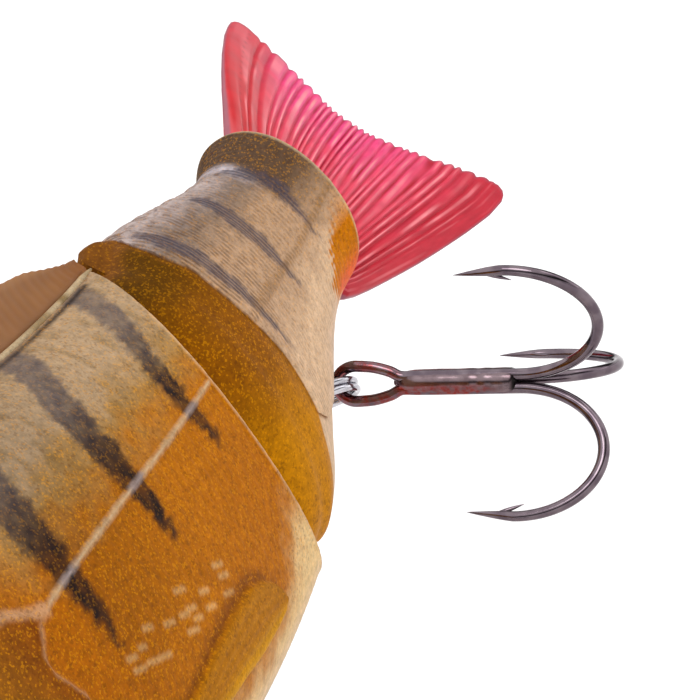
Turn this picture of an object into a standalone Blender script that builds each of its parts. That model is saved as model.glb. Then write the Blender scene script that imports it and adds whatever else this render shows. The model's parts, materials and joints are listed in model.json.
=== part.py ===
"""Two-section perch swimbait with a soft tail, two split rings and two brazed treble hooks.

Frame: metres, origin at the centre of the nose loop, +X towards the tail, +Z towards the back,
so -Y is the fish's left side. Every size below is in millimetres and is scaled once, in vertex().
"""

import math

import bmesh
import bpy
from mathutils import Vector

MM = 0.001

# Driving dimensions, in millimetres.
GAP = 0.3
JOINT_X = 114.0
FRONT_EDGE_X = 113.0
EDGE_SAG = 10.3
SKIN_EDGE_X = 119.5
RIM_X = 158.0
SWING_DEG = 35.0

WIRE_RADIUS = 0.8
LOOP_RADIUS = 2.1
PIN_RADIUS = 0.9
PIN_TOP_Z = 12.5
PIN_BOTTOM_Z = -19.5
EYELET_HEIGHTS = {"upper": 7.0, "lower": -12.0}

RING_RADIUS = 3.4
RING_THICK = 0.5
RING_WIDE = 1.0

HOOK_WIRE = 0.75
HOOK_LENGTH = 33.8
HOOK_GAPE = 17.4
HOOK_SHANK = 23.0
HOOK_EYE_LENGTH = 8.2
HOOK_EYE_HALF = 2.2
STRAND_RADIUS = 0.96
HOOK_SEAT = 2.25
HOOK_SHIFT = 0.2

# Inside the shells: centre heights and ends along X.
SEAM_LIMIT = 60.0
CAVITY_POINTS = 20
EYELET_SHANK = 17.0
FRONT_BALLAST = {"start": 54.0, "end": 76.0, "z": -19.5, "radius": 4.5}
REAR_BALLAST = {"start": 122.0, "end": 132.0, "z": -14.6, "radius": 3.0}
RATTLE = {"start": 80.0, "end": 94.0, "z": -19.0, "radius": 3.7, "bore": 3.1, "floor": 1.0}
RATTLE_PLUG = {"start": 92.5, "radius": 2.8}
RATTLE_BALL = {"x": 86.5, "radius": 2.6}

# Eyes: where they sit along the head and above its middle, and their size.
EYE_X = 20.0
EYE_Z = 3.2
EYE_RADIUS = 4.0
EYE_SINK = 1.0

# Plug of the soft tail: its pad in the flared rim and its tongue in the slot behind it.
RIM_INSET = 1.0
PAD_START_X = 155.3
PAD_END_X = 157.0
TONGUE_LOW = (147.3, -2.3, -6.0)
TONGUE_HIGH = (156.0, 2.3, 9.0)

# Outline of the whole fish: x, back, belly, half width.
STATIONS = (
    (4.0, 1.6, -1.8, 1.5),
    (5.2, 3.4, -3.8, 3.0),
    (8.0, 5.8, -6.6, 4.9),
    (15.0, 9.8, -11.4, 7.6),
    (27.0, 15.4, -17.0, 10.3),
    (45.0, 21.4, -22.4, 12.3),
    (60.0, 23.4, -25.4, 13.0),
    (75.0, 22.6, -26.8, 13.0),
    (90.0, 20.6, -27.2, 12.5),
    (103.0, 19.4, -26.7, 12.0),
    (113.0, 18.9, -25.6, 11.6),
    (121.0, 18.6, -23.9, 10.8),
    (129.0, 17.4, -20.6, 9.2),
    (138.0, 15.3, -16.2, 8.1),
    (147.0, 13.6, -12.4, 7.3),
    (153.0, 13.6, -10.7, 7.7),
    (158.0, 14.9, -10.0, 9.4),
)
ROUNDNESS = 2.1
RING_POINTS = 28

# Where the hooks hang: centre of the wire loop, and the direction from it to the split ring.
FRONT_HANG = Vector((46.0, 0.0, -22.0))
FRONT_HANG_AIM = Vector((0.0, 0.0, -1.0))
FRONT_TREBLE_AIM = Vector((0.0, 0.0, -1.0))
FRONT_TREBLE_TURN = 30.0
REAR_HANG = Vector((139.1, 0.0, -14.9))
REAR_HANG_AIM = Vector((0.85, 0.0, -0.53)).normalized()
REAR_TREBLE_AIM = Vector((0.056, -0.882, -0.468)).normalized()
REAR_TREBLE_TURN = 96.8
RING_DROP = LOOP_RADIUS - WIRE_RADIUS - RING_THICK - GAP / 2 + RING_RADIUS
REAR_SLIDE_DEG = 62.0

LEFT = -1
RIGHT = 1


# ---------------------------------------------------------------- scene and materials


def clear_scene():
    for obj in list(bpy.data.objects):
        bpy.data.objects.remove(obj, do_unlink=True)


def material(name, color, roughness, metallic=0.0):
    made = bpy.data.materials.new(name)
    made.use_nodes = True
    shader = made.node_tree.nodes["Principled BSDF"]
    shader.inputs["Base Color"].default_value = (*color, 1.0)
    shader.inputs["Roughness"].default_value = roughness
    shader.inputs["Metallic"].default_value = metallic
    return made


def make_materials():
    return {
        "perch_front": material("perch_front", (0.52, 0.27, 0.05), 0.35),
        "perch_tail": material("perch_tail", (0.56, 0.42, 0.27), 0.38),
        "soft_tail": material("soft_tail", (0.82, 0.16, 0.22), 0.45),
        "dorsal": material("dorsal", (0.30, 0.17, 0.08), 0.5),
        "steel": material("steel", (0.75, 0.75, 0.77), 0.22, 1.0),
        "black_nickel": material("black_nickel", (0.22, 0.20, 0.21), 0.2, 1.0),
        "lead": material("lead", (0.33, 0.34, 0.36), 0.6, 1.0),
        "brass": material("brass", (0.72, 0.55, 0.25), 0.3, 1.0),
        "eye": material("eye", (0.85, 0.62, 0.15), 0.1),
    }


# ---------------------------------------------------------------- mesh helpers


def vertex(mesh, point):
    return mesh.verts.new(Vector(point) * MM)


def finish_mesh(name, mesh, skin, merge=0.00001, sharp_deg=40.0):
    """Turns a bmesh into an object, welded, facing out and smooth except at real edges."""
    bmesh.ops.remove_doubles(mesh, verts=mesh.verts, dist=merge)
    bmesh.ops.recalc_face_normals(mesh, faces=mesh.faces)
    data = bpy.data.meshes.new(name)
    mesh.to_mesh(data)
    mesh.free()
    data.shade_smooth()
    data.set_sharp_from_angle(angle=math.radians(sharp_deg))
    obj = bpy.data.objects.new(name, data)
    if skin:
        data.materials.append(skin)
    bpy.context.scene.collection.objects.link(obj)
    return obj


def bridge(mesh, rings):
    count = len(rings[0])
    for near, far in zip(rings, rings[1:]):
        for i in range(count):
            j = (i + 1) % count
            mesh.faces.new((near[i], near[j], far[j], far[i]))


def ruled_cap(mesh, ring):
    """Closes a ring that mirrors about its first and middle points, with strips across it."""
    count = len(ring)
    half = count // 2
    for i in range(half):
        j = (count - i) % count
        corners = [ring[i], ring[i + 1], ring[count - i - 1], ring[j]]
        unique = list(dict.fromkeys(corners))
        mesh.faces.new(unique)


def loft(name, sections, skin):
    """Joins closed sections that start at their top point, and closes both ends with strips."""
    mesh = bmesh.new()
    rings = [[vertex(mesh, point) for point in section] for section in sections]
    bridge(mesh, rings)
    ruled_cap(mesh, rings[0])
    ruled_cap(mesh, rings[-1])
    return finish_mesh(name, mesh, skin)


def tube(name, path, radii, skin, sides=8):
    """A round wire along a path, with one radius per point or the same one all along."""
    points = [Vector(point) for point in path]
    if not isinstance(radii, (list, tuple)):
        radii = [radii] * len(points)
    mesh = bmesh.new()
    rings = []
    normal = None
    for i, point in enumerate(points):
        before = points[max(i - 1, 0)]
        after = points[min(i + 1, len(points) - 1)]
        tangent = (after - before).normalized()
        if normal is None:
            normal = tangent.orthogonal().normalized()
        normal = (normal - tangent * normal.dot(tangent)).normalized()
        across = tangent.cross(normal)
        ring = []
        for k in range(sides):
            angle = 2 * math.pi * k / sides
            spoke = normal * math.cos(angle) + across * math.sin(angle)
            ring.append(vertex(mesh, point + spoke * radii[i]))
        rings.append(ring)
    bridge(mesh, rings)
    mesh.faces.new(rings[0])
    mesh.faces.new(rings[-1])
    return finish_mesh(name, mesh, skin)


def ring_body(name, centre, axis, radius, thick, wide, skin, turns=28, sides=8):
    """A torus whose section is an ellipse: thick across the ring and wide along its axis."""
    frame = axis.normalized().to_track_quat("Z", "Y").to_matrix()
    mesh = bmesh.new()
    rings = []
    for i in range(turns):
        around = 2 * math.pi * i / turns
        ring = []
        for k in range(sides):
            angle = 2 * math.pi * k / sides
            out = radius + thick * math.cos(angle)
            local = Vector((out * math.cos(around), out * math.sin(around), wide * math.sin(angle)))
            ring.append(vertex(mesh, centre + frame @ local))
        rings.append(ring)
    bridge(mesh, rings + [rings[0]])
    return finish_mesh(name, mesh, skin)


def round_bar(name, start, end, radius, skin, sides=16, round_ends=False):
    """A straight bar, flat ended or with rounded ends inside its length."""
    start = Vector(start)
    end = Vector(end)
    aim = (end - start).normalized()
    if not round_ends:
        return tube(name, [start, end], radius, skin, sides)
    steps = (0.04, 0.35, 0.7, 1.0)
    radii = [radius * math.sqrt(1 - (1 - part) ** 2) for part in steps]
    path = [start + aim * radius * part for part in steps]
    path += [end - aim * radius * part for part in reversed(steps)]
    radii += list(reversed(radii))
    return tube(name, path, radii, skin, sides)


def box(name, low, high, skin):
    mesh = bmesh.new()
    bmesh.ops.create_cube(mesh, size=1.0)
    low = Vector(low)
    high = Vector(high)
    for corner in mesh.verts:
        spread = Vector((corner.co.x + 0.5, corner.co.y + 0.5, corner.co.z + 0.5))
        corner.co = (low + Vector(a * b for a, b in zip(spread, high - low))) * MM
    return finish_mesh(name, mesh, skin)


def ball(name, centre, axes, skin, segments=24, rings=12):
    """A sphere, or an ellipsoid when its three half axes differ."""
    mesh = bmesh.new()
    bmesh.ops.create_uvsphere(mesh, u_segments=segments, v_segments=rings, radius=1.0)
    for corner in mesh.verts:
        corner.co = (Vector(centre) + Vector(a * b for a, b in zip(corner.co, axes))) * MM
    return finish_mesh(name, mesh, skin)


def prism(name, outline, low_z, high_z, skin):
    """A plan outline pulled up along Z."""
    mesh = bmesh.new()
    bottom = [vertex(mesh, (x, y, low_z)) for x, y in outline]
    top = [vertex(mesh, (x, y, high_z)) for x, y in outline]
    bridge(mesh, [bottom, top])
    mesh.faces.new(bottom)
    mesh.faces.new(top)
    return finish_mesh(name, mesh, skin)


def as_cutter(obj):
    obj.hide_render = True
    obj.display_type = "WIRE"
    return obj


def cut(obj, cutters):
    for cutter in cutters:
        step = obj.modifiers.new(cutter.name, "BOOLEAN")
        step.operation = "DIFFERENCE"
        step.solver = "EXACT"
        step.object = cutter


# ---------------------------------------------------------------- body outline


def smooth_between(x, table, column):
    """Cubic interpolation through a table sorted on its first column."""
    last = len(table) - 1
    x = min(max(x, table[0][0]), table[last][0])
    i = 0
    while i < last - 1 and x > table[i + 1][0]:
        i += 1
    slopes = []
    for k in (i, i + 1):
        low = max(k - 1, 0)
        high = min(k + 1, last)
        slopes.append((table[high][column] - table[low][column]) / (table[high][0] - table[low][0]))
    x0, x1 = table[i][0], table[i + 1][0]
    y0, y1 = table[i][column], table[i + 1][column]
    width = x1 - x0
    t = (x - x0) / width
    return (
        (2 * t**3 - 3 * t**2 + 1) * y0
        + (t**3 - 2 * t**2 + t) * width * slopes[0]
        + (3 * t**2 - 2 * t**3) * y1
        + (t**3 - t**2) * width * slopes[1]
    )


def outline(x):
    return [smooth_between(x, STATIONS, column) for column in (1, 2, 3)]


def oval_point(angle, top, bottom, half_width):
    """A point of a rounded section. The angle starts at the top and runs to the left side first."""
    across = math.sin(angle)
    up = math.cos(angle)
    middle = 0.25 * (top + bottom)
    power = 2 / ROUNDNESS
    y = -half_width * math.copysign(abs(across) ** power, across)
    reach = (top - middle) if up > 0 else (middle - bottom)
    z = middle + reach * math.copysign(abs(up) ** power, up)
    return y, z


def body_section(x, sag=0.0, inset=(0.0, 0.0, 0.0), points=RING_POINTS):
    """One section of the fish, bowed towards the head by sag at mid height."""
    section = []
    for i in range(points):
        angle = 2 * math.pi * i / points
        here = x - sag * abs(math.sin(angle))
        top, bottom, half_width = outline(here)
        y, z = oval_point(angle, top - inset[0], bottom + inset[1], half_width - inset[2])
        if i in (0, points // 2):
            y = 0.0
        section.append((here, y, z))
    return section


def plain_section(x, top, bottom, half_width, points=CAVITY_POINTS):
    section = []
    for i in range(points):
        y, z = oval_point(2 * math.pi * i / points, top, bottom, half_width)
        section.append((x, 0.0 if i in (0, points // 2) else y, z))
    return section


def dome_sections(grow):
    """The joint dome: the section at the hinge swept round the hinge axis to the front."""
    top, bottom, half_width = outline(JOINT_X)
    base = plain_section(
        JOINT_X,
        top - 1.7 + grow,
        bottom + 1.7 - grow,
        half_width - 0.7 + grow,
        RING_POINTS,
    )
    sections = []
    for degrees in (0, 18, 36, 54, 72, 90):
        turn = math.radians(degrees)
        sections.append([(JOINT_X - abs(y) * math.cos(turn), y * math.sin(turn), z) for _, y, z in base])
    return sections


def swing_outline(clearance):
    """Plan of a slot that lets a wire loop turn by the swing each way about the hinge."""
    loop = LOOP_RADIUS + WIRE_RADIUS + clearance
    open_deg = SWING_DEG + 9.0
    reach = 17.0
    points = []
    start = math.radians(180 - open_deg - 35)
    for i in range(11):
        angle = start - 2 * start * i / 10
        points.append((JOINT_X + loop * math.cos(angle), loop * math.sin(angle)))
    mouth = math.radians(180 - open_deg)
    for side in (LEFT, RIGHT):
        points.append((JOINT_X + reach * math.cos(mouth), side * reach * math.sin(mouth)))
    return points


# ---------------------------------------------------------------- shells


def half_cutters():
    """Boxes that take away the right or the left side, leaving half a gap at the seam."""
    seam = GAP / 2
    wide = SEAM_LIMIT
    start = -5.0
    end = 220.0
    keep_left = as_cutter(box("cutter_right_side", (start, -seam, -wide), (end, wide, wide), None))
    keep_right = as_cutter(box("cutter_left_side", (start, -wide, -wide), (end, seam, wide), None))
    return {"left": keep_left, "right": keep_right}


def front_cavity():
    rows = (
        (20.0, 8.5, -7.0, 5.6),
        (27.0, 12.5, -9.0, 8.0),
        (45.0, 18.8, -12.0, 10.2),
        (60.0, 20.6, -13.5, 11.0),
        (75.0, 19.8, -13.5, 11.0),
        (90.0, 17.6, -13.5, 10.4),
        (97.0, 16.6, -13.0, 9.8),
    )
    return as_cutter(loft("cutter_front_cavity", [plain_section(*row) for row in rows], None))


def tail_cavity():
    rows = (
        (122.0, 15.0, -10.0, 8.4),
        (129.0, 14.4, -9.0, 7.2),
        (137.0, 12.4, -7.0, 6.1),
        (144.0, 11.0, -6.0, 5.4),
    )
    return as_cutter(loft("cutter_tail_cavity", [plain_section(*row) for row in rows], None))


def groove(name, start, end, radius):
    return as_cutter(round_bar("cutter_" + name, start, end, radius, None, 12))


def seat_groove(name, weight):
    """A groove that takes a round piece with the gap all round it."""
    start = (weight["start"] - GAP, 0, weight["z"])
    end = (weight["end"] + GAP, 0, weight["z"])
    return groove(name, start, end, weight["radius"] + GAP)


def front_cutters():
    hinge_z = EYELET_HEIGHTS
    fit = WIRE_RADIUS + GAP
    cutters = [
        front_cavity(),
        as_cutter(loft("cutter_joint_socket", dome_sections(0.6), None)),
        as_cutter(ball("cutter_front_hook_recess", FRONT_HANG + Vector((0, 0, -2.0)), (6.5, 4.6, 5.6), None)),
        groove("nose_wire", (1.0, 0, 0), (22.0, 0, 0), fit),
        groove("front_hanger_wire", (FRONT_HANG.x, 0, -40), (FRONT_HANG.x, 0, -10), fit),
        groove("upper_hinge_wire", (94.0, 0, hinge_z["upper"]), (116.0, 0, hinge_z["upper"]), fit),
        groove("lower_hinge_wire", (94.0, 0, hinge_z["lower"]), (116.0, 0, hinge_z["lower"]), fit),
        seat_groove("front_ballast_seat", FRONT_BALLAST),
        seat_groove("rattle_seat", RATTLE),
        as_cutter(loft("cutter_front_dorsal_slot", fin_root_sections(FRONT_DORSAL, GAP), None)),
        as_cutter(loft("cutter_rear_dorsal_slot", fin_root_sections(REAR_DORSAL, GAP), None)),
    ]
    for side, sign in (("left", LEFT), ("right", RIGHT)):
        aim = eye_aim(sign)
        seat = eye_centre(sign)
        cutters.append(groove(side + "_eye_seat", seat - aim * 1.2, seat + aim * 6.0, EYE_RADIUS + GAP))
    return cutters


def tail_cutters():
    fit = WIRE_RADIUS + GAP
    room = Vector((GAP, GAP, GAP))
    recess_places = (PAD_START_X - GAP, PAD_END_X, RIM_X + 2.0)
    cutters = [
        tail_cavity(),
        as_cutter(ball("cutter_rear_hook_recess", REAR_HANG + Vector((1.4, 0, -2.5)), (7.2, 4.6, 6.4), None)),
        groove("rear_hanger_wire", (REAR_HANG.x, 0, -20), (REAR_HANG.x, 0, -4), fit),
        groove("pin_bore", (JOINT_X, 0, PIN_BOTTOM_Z - GAP), (JOINT_X, 0, PIN_TOP_Z + GAP), PIN_RADIUS + GAP),
        seat_groove("rear_ballast_seat", REAR_BALLAST),
        as_cutter(box("cutter_tail_slot", Vector(TONGUE_LOW) - room, Vector(TONGUE_HIGH) + room, None)),
        as_cutter(loft("cutter_rim_recess", [rim_section(x, RIM_INSET) for x in recess_places], None)),
    ]
    for level, z in EYELET_HEIGHTS.items():
        half = WIRE_RADIUS + 0.6
        cutters.append(as_cutter(prism("cutter_slot_" + level, swing_outline(0.6), z - half, z + half, None)))
    return cutters


def rim_section(x, inset):
    top, bottom, half_width = outline(min(x, RIM_X))
    return plain_section(x, top - inset, bottom + inset, half_width - inset, 24)


def sag_at(x):
    """How far a front section is bowed, growing smoothly from the middle of the body to its rear edge."""
    t = min(max((x - 78.0) / (FRONT_EDGE_X - 78.0), 0.0), 1.0)
    return EDGE_SAG * t * t * (3 - 2 * t)


def front_body(name, skin):
    places = (4.0, 5.2, 8, 12, 17, 22, 28, 35, 43, 52, 61, 70, 78, 85, 91, 96, 100.5, 104.5, 108, 111, FRONT_EDGE_X)
    return loft(name, [body_section(x, sag_at(x)) for x in places], skin)


def tail_body(name, skin):
    sections = dome_sections(0.0)
    sections.append(body_section(117.0, inset=(1.0, 1.0, 0.4)))
    places = (SKIN_EDGE_X, 123.5, 128, 133, 138, 143, 147, 150.5, 153.5, 156, RIM_X)
    sections += [body_section(x) for x in places]
    return loft(name, sections, skin)


def make_shells(skins):
    halves = half_cutters()
    front = front_cutters()
    tail = tail_cutters()
    for side, half in halves.items():
        cut(front_body("front_shell_" + side, skins["perch_front"]), [half] + front)
        cut(tail_body("tail_shell_" + side, skins["perch_tail"]), [half] + tail)


# ---------------------------------------------------------------- fins

# Each dorsal fin: outline above the back as (x, height), root depth and half thickness at the root.
FRONT_DORSAL = {
    "crest": ((36, 0.8), (38.5, 7.5), (43, 11.0), (49, 11.6), (56, 9.8), (63, 6.4), (69, 2.6), (71, 0.8)),
    "root": 2.2,
    "half": 1.1,
}
REAR_DORSAL = {
    "crest": ((76, 0.8), (77.5, 6.2), (81, 8.6), (86, 8.4), (92, 7.2), (98, 5.6), (104, 3.8), (108.5, 2.3), (110, 1.2)),
    "root": 2.0,
    "half": 1.5,
}


def fin_root_sections(fin, grow):
    """The foot of a dorsal fin, set into the back on the seam."""
    xs = [x for x, _ in fin["crest"]]
    xs[0] -= grow
    xs[-1] += grow
    half = fin["half"] + grow
    depth = fin["root"] + grow
    above = 3.0 if grow else 0.6
    sections = []
    for x in xs:
        back = outline(x)[0]
        sections.append(((x, -half, back + above), (x, -half, back - depth), (x, half, back - depth), (x, half, back + above)))
    return sections


def make_dorsal(name, fin, skin):
    """A soft fin: a flat sided foot in the back and a blade that thins towards its crest."""
    half = fin["half"]
    sections = []
    for x, height in fin["crest"]:
        back = outline(x)[0]
        crest = back + height
        shoulder = back + min(0.6, height * 0.6)
        thin = 0.35
        sections.append(
            (
                (x, -thin, crest),
                (x, -half * 0.75, shoulder + (crest - shoulder) * 0.12),
                (x, -half, shoulder),
                (x, -half, back - fin["root"]),
                (x, half, back - fin["root"]),
                (x, half, shoulder),
                (x, half * 0.75, shoulder + (crest - shoulder) * 0.12),
                (x, thin, crest),
            )
        )
    mesh = bmesh.new()
    rings = [[vertex(mesh, point) for point in section] for section in sections]
    bridge(mesh, rings)
    for ring in (rings[0], rings[-1]):
        for i in range(3):
            mesh.faces.new((ring[i], ring[i + 1], ring[6 - i], ring[7 - i]))
    return finish_mesh(name, mesh, skin)


FIN_ROOT_X = 157.9
FIN_ROOT_TOP = 12.4
FIN_ROOT_BOTTOM = -8.0
FIN_TIP_X = 198.0
FIN_NOTCH_X = 191.3
FIN_TIP_TOP = 22.0
FIN_TIP_BOTTOM = -22.6
FIN_TWIST_DEG = 25.0
FIN_HALF_ROOT = 1.7
FIN_HALF_EDGE = 0.6


def fin_point(along, across):
    """Middle surface of the tail fin. along runs root to edge, across from -1 (belly) to 1 (back)."""
    middle = 0.5 * (FIN_ROOT_TOP + FIN_ROOT_BOTTOM)
    root = middle + across * 0.5 * (FIN_ROOT_TOP - FIN_ROOT_BOTTOM)
    tip_middle = 0.5 * (FIN_TIP_TOP + FIN_TIP_BOTTOM)
    tip = tip_middle + across * 0.5 * (FIN_TIP_TOP - FIN_TIP_BOTTOM)
    end_x = FIN_NOTCH_X + (FIN_TIP_X - FIN_NOTCH_X) * abs(across) ** 1.3
    bulge = (1.5 if across > 0 else 2.2) * abs(across) * math.copysign(1, across)
    x = FIN_ROOT_X + along * (end_x - FIN_ROOT_X)
    height = root + (tip - root) * along + bulge * math.sin(math.pi * along)
    turn = math.radians(FIN_TWIST_DEG) * along
    return Vector((x, height * math.sin(turn), height * math.cos(turn)))


def make_tail_fin(skin):
    steps = 9
    spans = 14
    sections = []
    for i in range(steps + 1):
        along = i / steps
        row = []
        for side in (LEFT, RIGHT):
            for k in range(spans + 1):
                across = 1 - 2 * k / spans if side == LEFT else -1 + 2 * k / spans
                edge = math.sqrt(max(1 - abs(across) ** 6, 0.12))
                half = (FIN_HALF_ROOT + (FIN_HALF_EDGE - FIN_HALF_ROOT) * min(along * 1.25, 1.0)) * edge
                turn = math.radians(FIN_TWIST_DEG) * along
                normal = Vector((0, math.cos(turn), -math.sin(turn)))
                row.append(fin_point(along, across) + normal * half * side)
        sections.append(row)
    mesh = bmesh.new()
    rings = [[vertex(mesh, point) for point in section] for section in sections]
    bridge(mesh, rings)
    for ring in (rings[0], rings[-1]):
        count = len(ring)
        for k in range(spans):
            mesh.faces.new((ring[k], ring[k + 1], ring[count - 2 - k], ring[count - 1 - k]))
    return finish_mesh("tail_fin_blade", mesh, skin)


def make_tail_plug(skin):
    """The plug of the soft tail: a tongue in the slot and a pad that fills the flared rim."""
    pad_ends = (PAD_START_X, PAD_END_X)
    pad = loft("tail_fin_plug", [rim_section(x, RIM_INSET + GAP) for x in pad_ends], skin)
    tongue = as_cutter(box("cutter_plug_tongue", TONGUE_LOW, TONGUE_HIGH, None))
    join = pad.modifiers.new("tongue", "BOOLEAN")
    join.operation = "UNION"
    join.solver = "EXACT"
    join.object = tongue
    return pad


# ---------------------------------------------------------------- wire parts


def make_eyelet(name, centre, shank_aim, plane_normal, shank, skin):
    """A wire eye with a straight shank. The loop lies across plane_normal."""
    u = Vector(shank_aim).normalized()
    v = Vector(plane_normal).normalized().cross(u)
    centre = Vector(centre)
    far = LOOP_RADIUS + shank
    path = [centre + u * far, centre + u * (LOOP_RADIUS + 2.4), centre + u * (LOOP_RADIUS + 1.0)]
    path.append(centre + u * (LOOP_RADIUS + 0.1) + v * 0.5)
    steps = 14
    first = math.radians(42)
    last = math.radians(330)
    for i in range(steps + 1):
        angle = first + (last - first) * i / steps
        path.append(centre + (u * math.cos(angle) + v * math.sin(angle)) * LOOP_RADIUS)
    return tube(name, path, WIRE_RADIUS, skin)


def make_wires(steel):
    for level, z in EYELET_HEIGHTS.items():
        make_eyelet(level + "_hinge_eyelet", (JOINT_X, 0, z), (-1, 0, 0), (0, 0, 1), EYELET_SHANK, steel)
    make_eyelet("line_tie_eyelet", (0, 0, 0), (1, 0, 0), (0, 1, 0), 17.5, steel)
    make_eyelet("front_hook_hanger", FRONT_HANG, (0, 0, 1), (0, 1, 0), 10.0, steel)
    make_eyelet("rear_hook_hanger", REAR_HANG, (0, 0, 1), (0, 1, 0), 6.5, steel)
    round_bar("hinge_pin", (JOINT_X, 0, PIN_BOTTOM_Z), (JOINT_X, 0, PIN_TOP_Z), PIN_RADIUS, steel, 12)


# ---------------------------------------------------------------- split rings and trebles


def treble_frame(aim, turn_deg):
    """Shank direction and the three directions in which the hooks spread."""
    side = Vector((0, 1, 0))
    if abs(aim.y) > 0.99:
        side = Vector((1, 0, 0))
    e = aim.cross(side).normalized()
    f = aim.cross(e)
    spreads = []
    for k in range(3):
        angle = math.radians(turn_deg + 120 * k)
        spreads.append(e * math.cos(angle) + f * math.sin(angle))
    return spreads


def hook_curve(eye, aim, spread):
    """One hook from its strand down to the bend and back up to its point."""
    steps = 11
    deep = HOOK_LENGTH - HOOK_SHANK
    wide = HOOK_GAPE - STRAND_RADIUS
    path = []
    for a in (HOOK_EYE_LENGTH, 12.0, 18.0):
        path.append(eye + aim * a + spread * STRAND_RADIUS)
    for i in range(steps + 1):
        angle = -math.pi / 2 + math.pi * i / steps
        a = HOOK_SHANK + deep * math.cos(angle)
        r = STRAND_RADIUS + wide * (0.5 + 0.5 * math.sin(angle))
        path.append(eye + aim * a + spread * r)
    radii = [HOOK_WIRE] * len(path)
    for back, thin in ((1.5, 0.9), (3.8, 0.55), (5.7, 0.1)):
        path.append(eye + aim * (HOOK_SHANK - back) + spread * (HOOK_GAPE - 0.1 * back))
        radii.append(HOOK_WIRE * thin)
    return path, radii


def make_treble(prefix, eye, aim, turn_deg, skin):
    """A treble: one wire makes two hooks and the eye, and a third hook is brazed beside them."""
    spreads = treble_frame(aim, turn_deg)
    first, first_radii = hook_curve(eye, aim, spreads[0])
    second, second_radii = hook_curve(eye, aim, spreads[1])
    third, third_radii = hook_curve(eye, aim, spreads[2])
    across = (spreads[0] - spreads[1]).normalized()
    lean = spreads[2] * (-0.5 * STRAND_RADIUS)
    half = HOOK_EYE_HALF
    loop = ((6.8, 0.68), (4.9, 0.92), (3.2, 1.0), (1.9, 0.99), (0.75, 0.74), (0.12, 0.36))
    eye_path = []
    for a, part in loop:
        eye_path.append(eye + aim * a + lean + across * half * part)
    eye_path.append(eye + lean)
    for a, part in reversed(loop):
        eye_path.append(eye + aim * a + lean - across * half * part)
    path = list(reversed(first)) + eye_path + second
    radii = list(reversed(first_radii)) + [HOOK_WIRE * 0.97] * len(eye_path) + second_radii
    tube(prefix + "_treble_double", path, radii, skin, 8)
    start = eye + aim * (HOOK_EYE_LENGTH - 0.6) + spreads[2] * STRAND_RADIUS
    tube(prefix + "_treble_third", [start] + third, [HOOK_WIRE * 0.6] + third_radii, skin, 8)


def hang_hook(prefix, hang, hang_aim, slide_deg, aim, turn_deg, skins):
    """A split ring on its wire loop and a treble on the ring, slid round it towards the left side."""
    centre = hang + hang_aim * RING_DROP
    ring_axis = hang_aim.cross(Vector((0, 1, 0)))
    ring_body(prefix + "_split_ring", centre, ring_axis, RING_RADIUS, RING_THICK, RING_WIDE, skins["steel"])
    slide = math.radians(slide_deg)
    out = hang_aim * math.cos(slide) + Vector((0, -1, 0)) * math.sin(slide)
    spreads = treble_frame(aim, turn_deg)
    across = (spreads[0] - spreads[1]).normalized()
    eye = centre + out * RING_RADIUS - aim * HOOK_SEAT + across * HOOK_SHIFT
    make_treble(prefix, eye, aim, turn_deg, skins["black_nickel"])


# ---------------------------------------------------------------- weights, rattle and eyes


def eye_centre(sign):
    half_width = outline(EYE_X)[2]
    return Vector((EYE_X, sign * (half_width - EYE_SINK), EYE_Z))


def eye_aim(sign):
    return Vector((-0.26, sign * 0.95, 0.17)).normalized()


def make_eye(name, sign, skin):
    """A domed eye, flat at the back, seated in the head."""
    centre = eye_centre(sign)
    aim = eye_aim(sign)
    profile = ((-0.9, 1.0), (0.6, 1.0), (1.2, 0.88), (1.7, 0.65), (2.0, 0.35), (2.1, 0.08))
    path = [centre + aim * a for a, _ in profile]
    return tube(name, path, [EYE_RADIUS * part for _, part in profile], skin, 20)


def make_inside(skins):
    for name, weight in (("front_ballast", FRONT_BALLAST), ("rear_ballast", REAR_BALLAST)):
        z = weight["z"]
        round_bar(name, (weight["start"], 0, z), (weight["end"], 0, z), weight["radius"], skins["lead"], 16, True)
    z = RATTLE["z"]
    end = RATTLE["end"]
    tube_cup = round_bar("rattle_tube", (RATTLE["start"], 0, z), (end, 0, z), RATTLE["radius"], skins["brass"], 16)
    floor = RATTLE["start"] + RATTLE["floor"]
    cut(tube_cup, [groove("rattle_bore", (floor, 0, z), (end + 2.0, 0, z), RATTLE["bore"])])
    round_bar("rattle_tube_plug", (RATTLE_PLUG["start"], 0, z), (end, 0, z), RATTLE_PLUG["radius"], skins["brass"], 16)
    size = RATTLE_BALL["radius"]
    ball("rattle_ball", (RATTLE_BALL["x"], 0, z), (size, size, size), skins["steel"], 14, 8)
    make_eye("left_eye", LEFT, skins["eye"])
    make_eye("right_eye", RIGHT, skins["eye"])


def main():
    clear_scene()
    skins = make_materials()
    make_shells(skins)
    make_dorsal("front_dorsal_fin", FRONT_DORSAL, skins["dorsal"])
    make_dorsal("rear_dorsal_fin", REAR_DORSAL, skins["dorsal"])
    make_tail_plug(skins["soft_tail"])
    make_tail_fin(skins["soft_tail"])
    make_wires(skins["steel"])
    hang_hook("front", FRONT_HANG, FRONT_HANG_AIM, 0.0, FRONT_TREBLE_AIM, FRONT_TREBLE_TURN, skins)
    hang_hook("rear", REAR_HANG, REAR_HANG_AIM, REAR_SLIDE_DEG, REAR_TREBLE_AIM, REAR_TREBLE_TURN, skins)
    make_inside(skins)


main()
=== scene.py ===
"""Looks of the two-section perch swimbait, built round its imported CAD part.

The frame is the CAD's: origin at the centre of the nose loop, +X towards the tail, +Z towards
the back, -Y the fish's left side. Sizes are in millimetres here and are scaled once, when a mesh
is made. A place on the body is given by x and by an angle that runs from 0 at the back, over the
flank, to pi at the belly.
"""

import json
from itertools import product
from math import cos, pi, prod, radians, sin, sqrt

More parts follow.
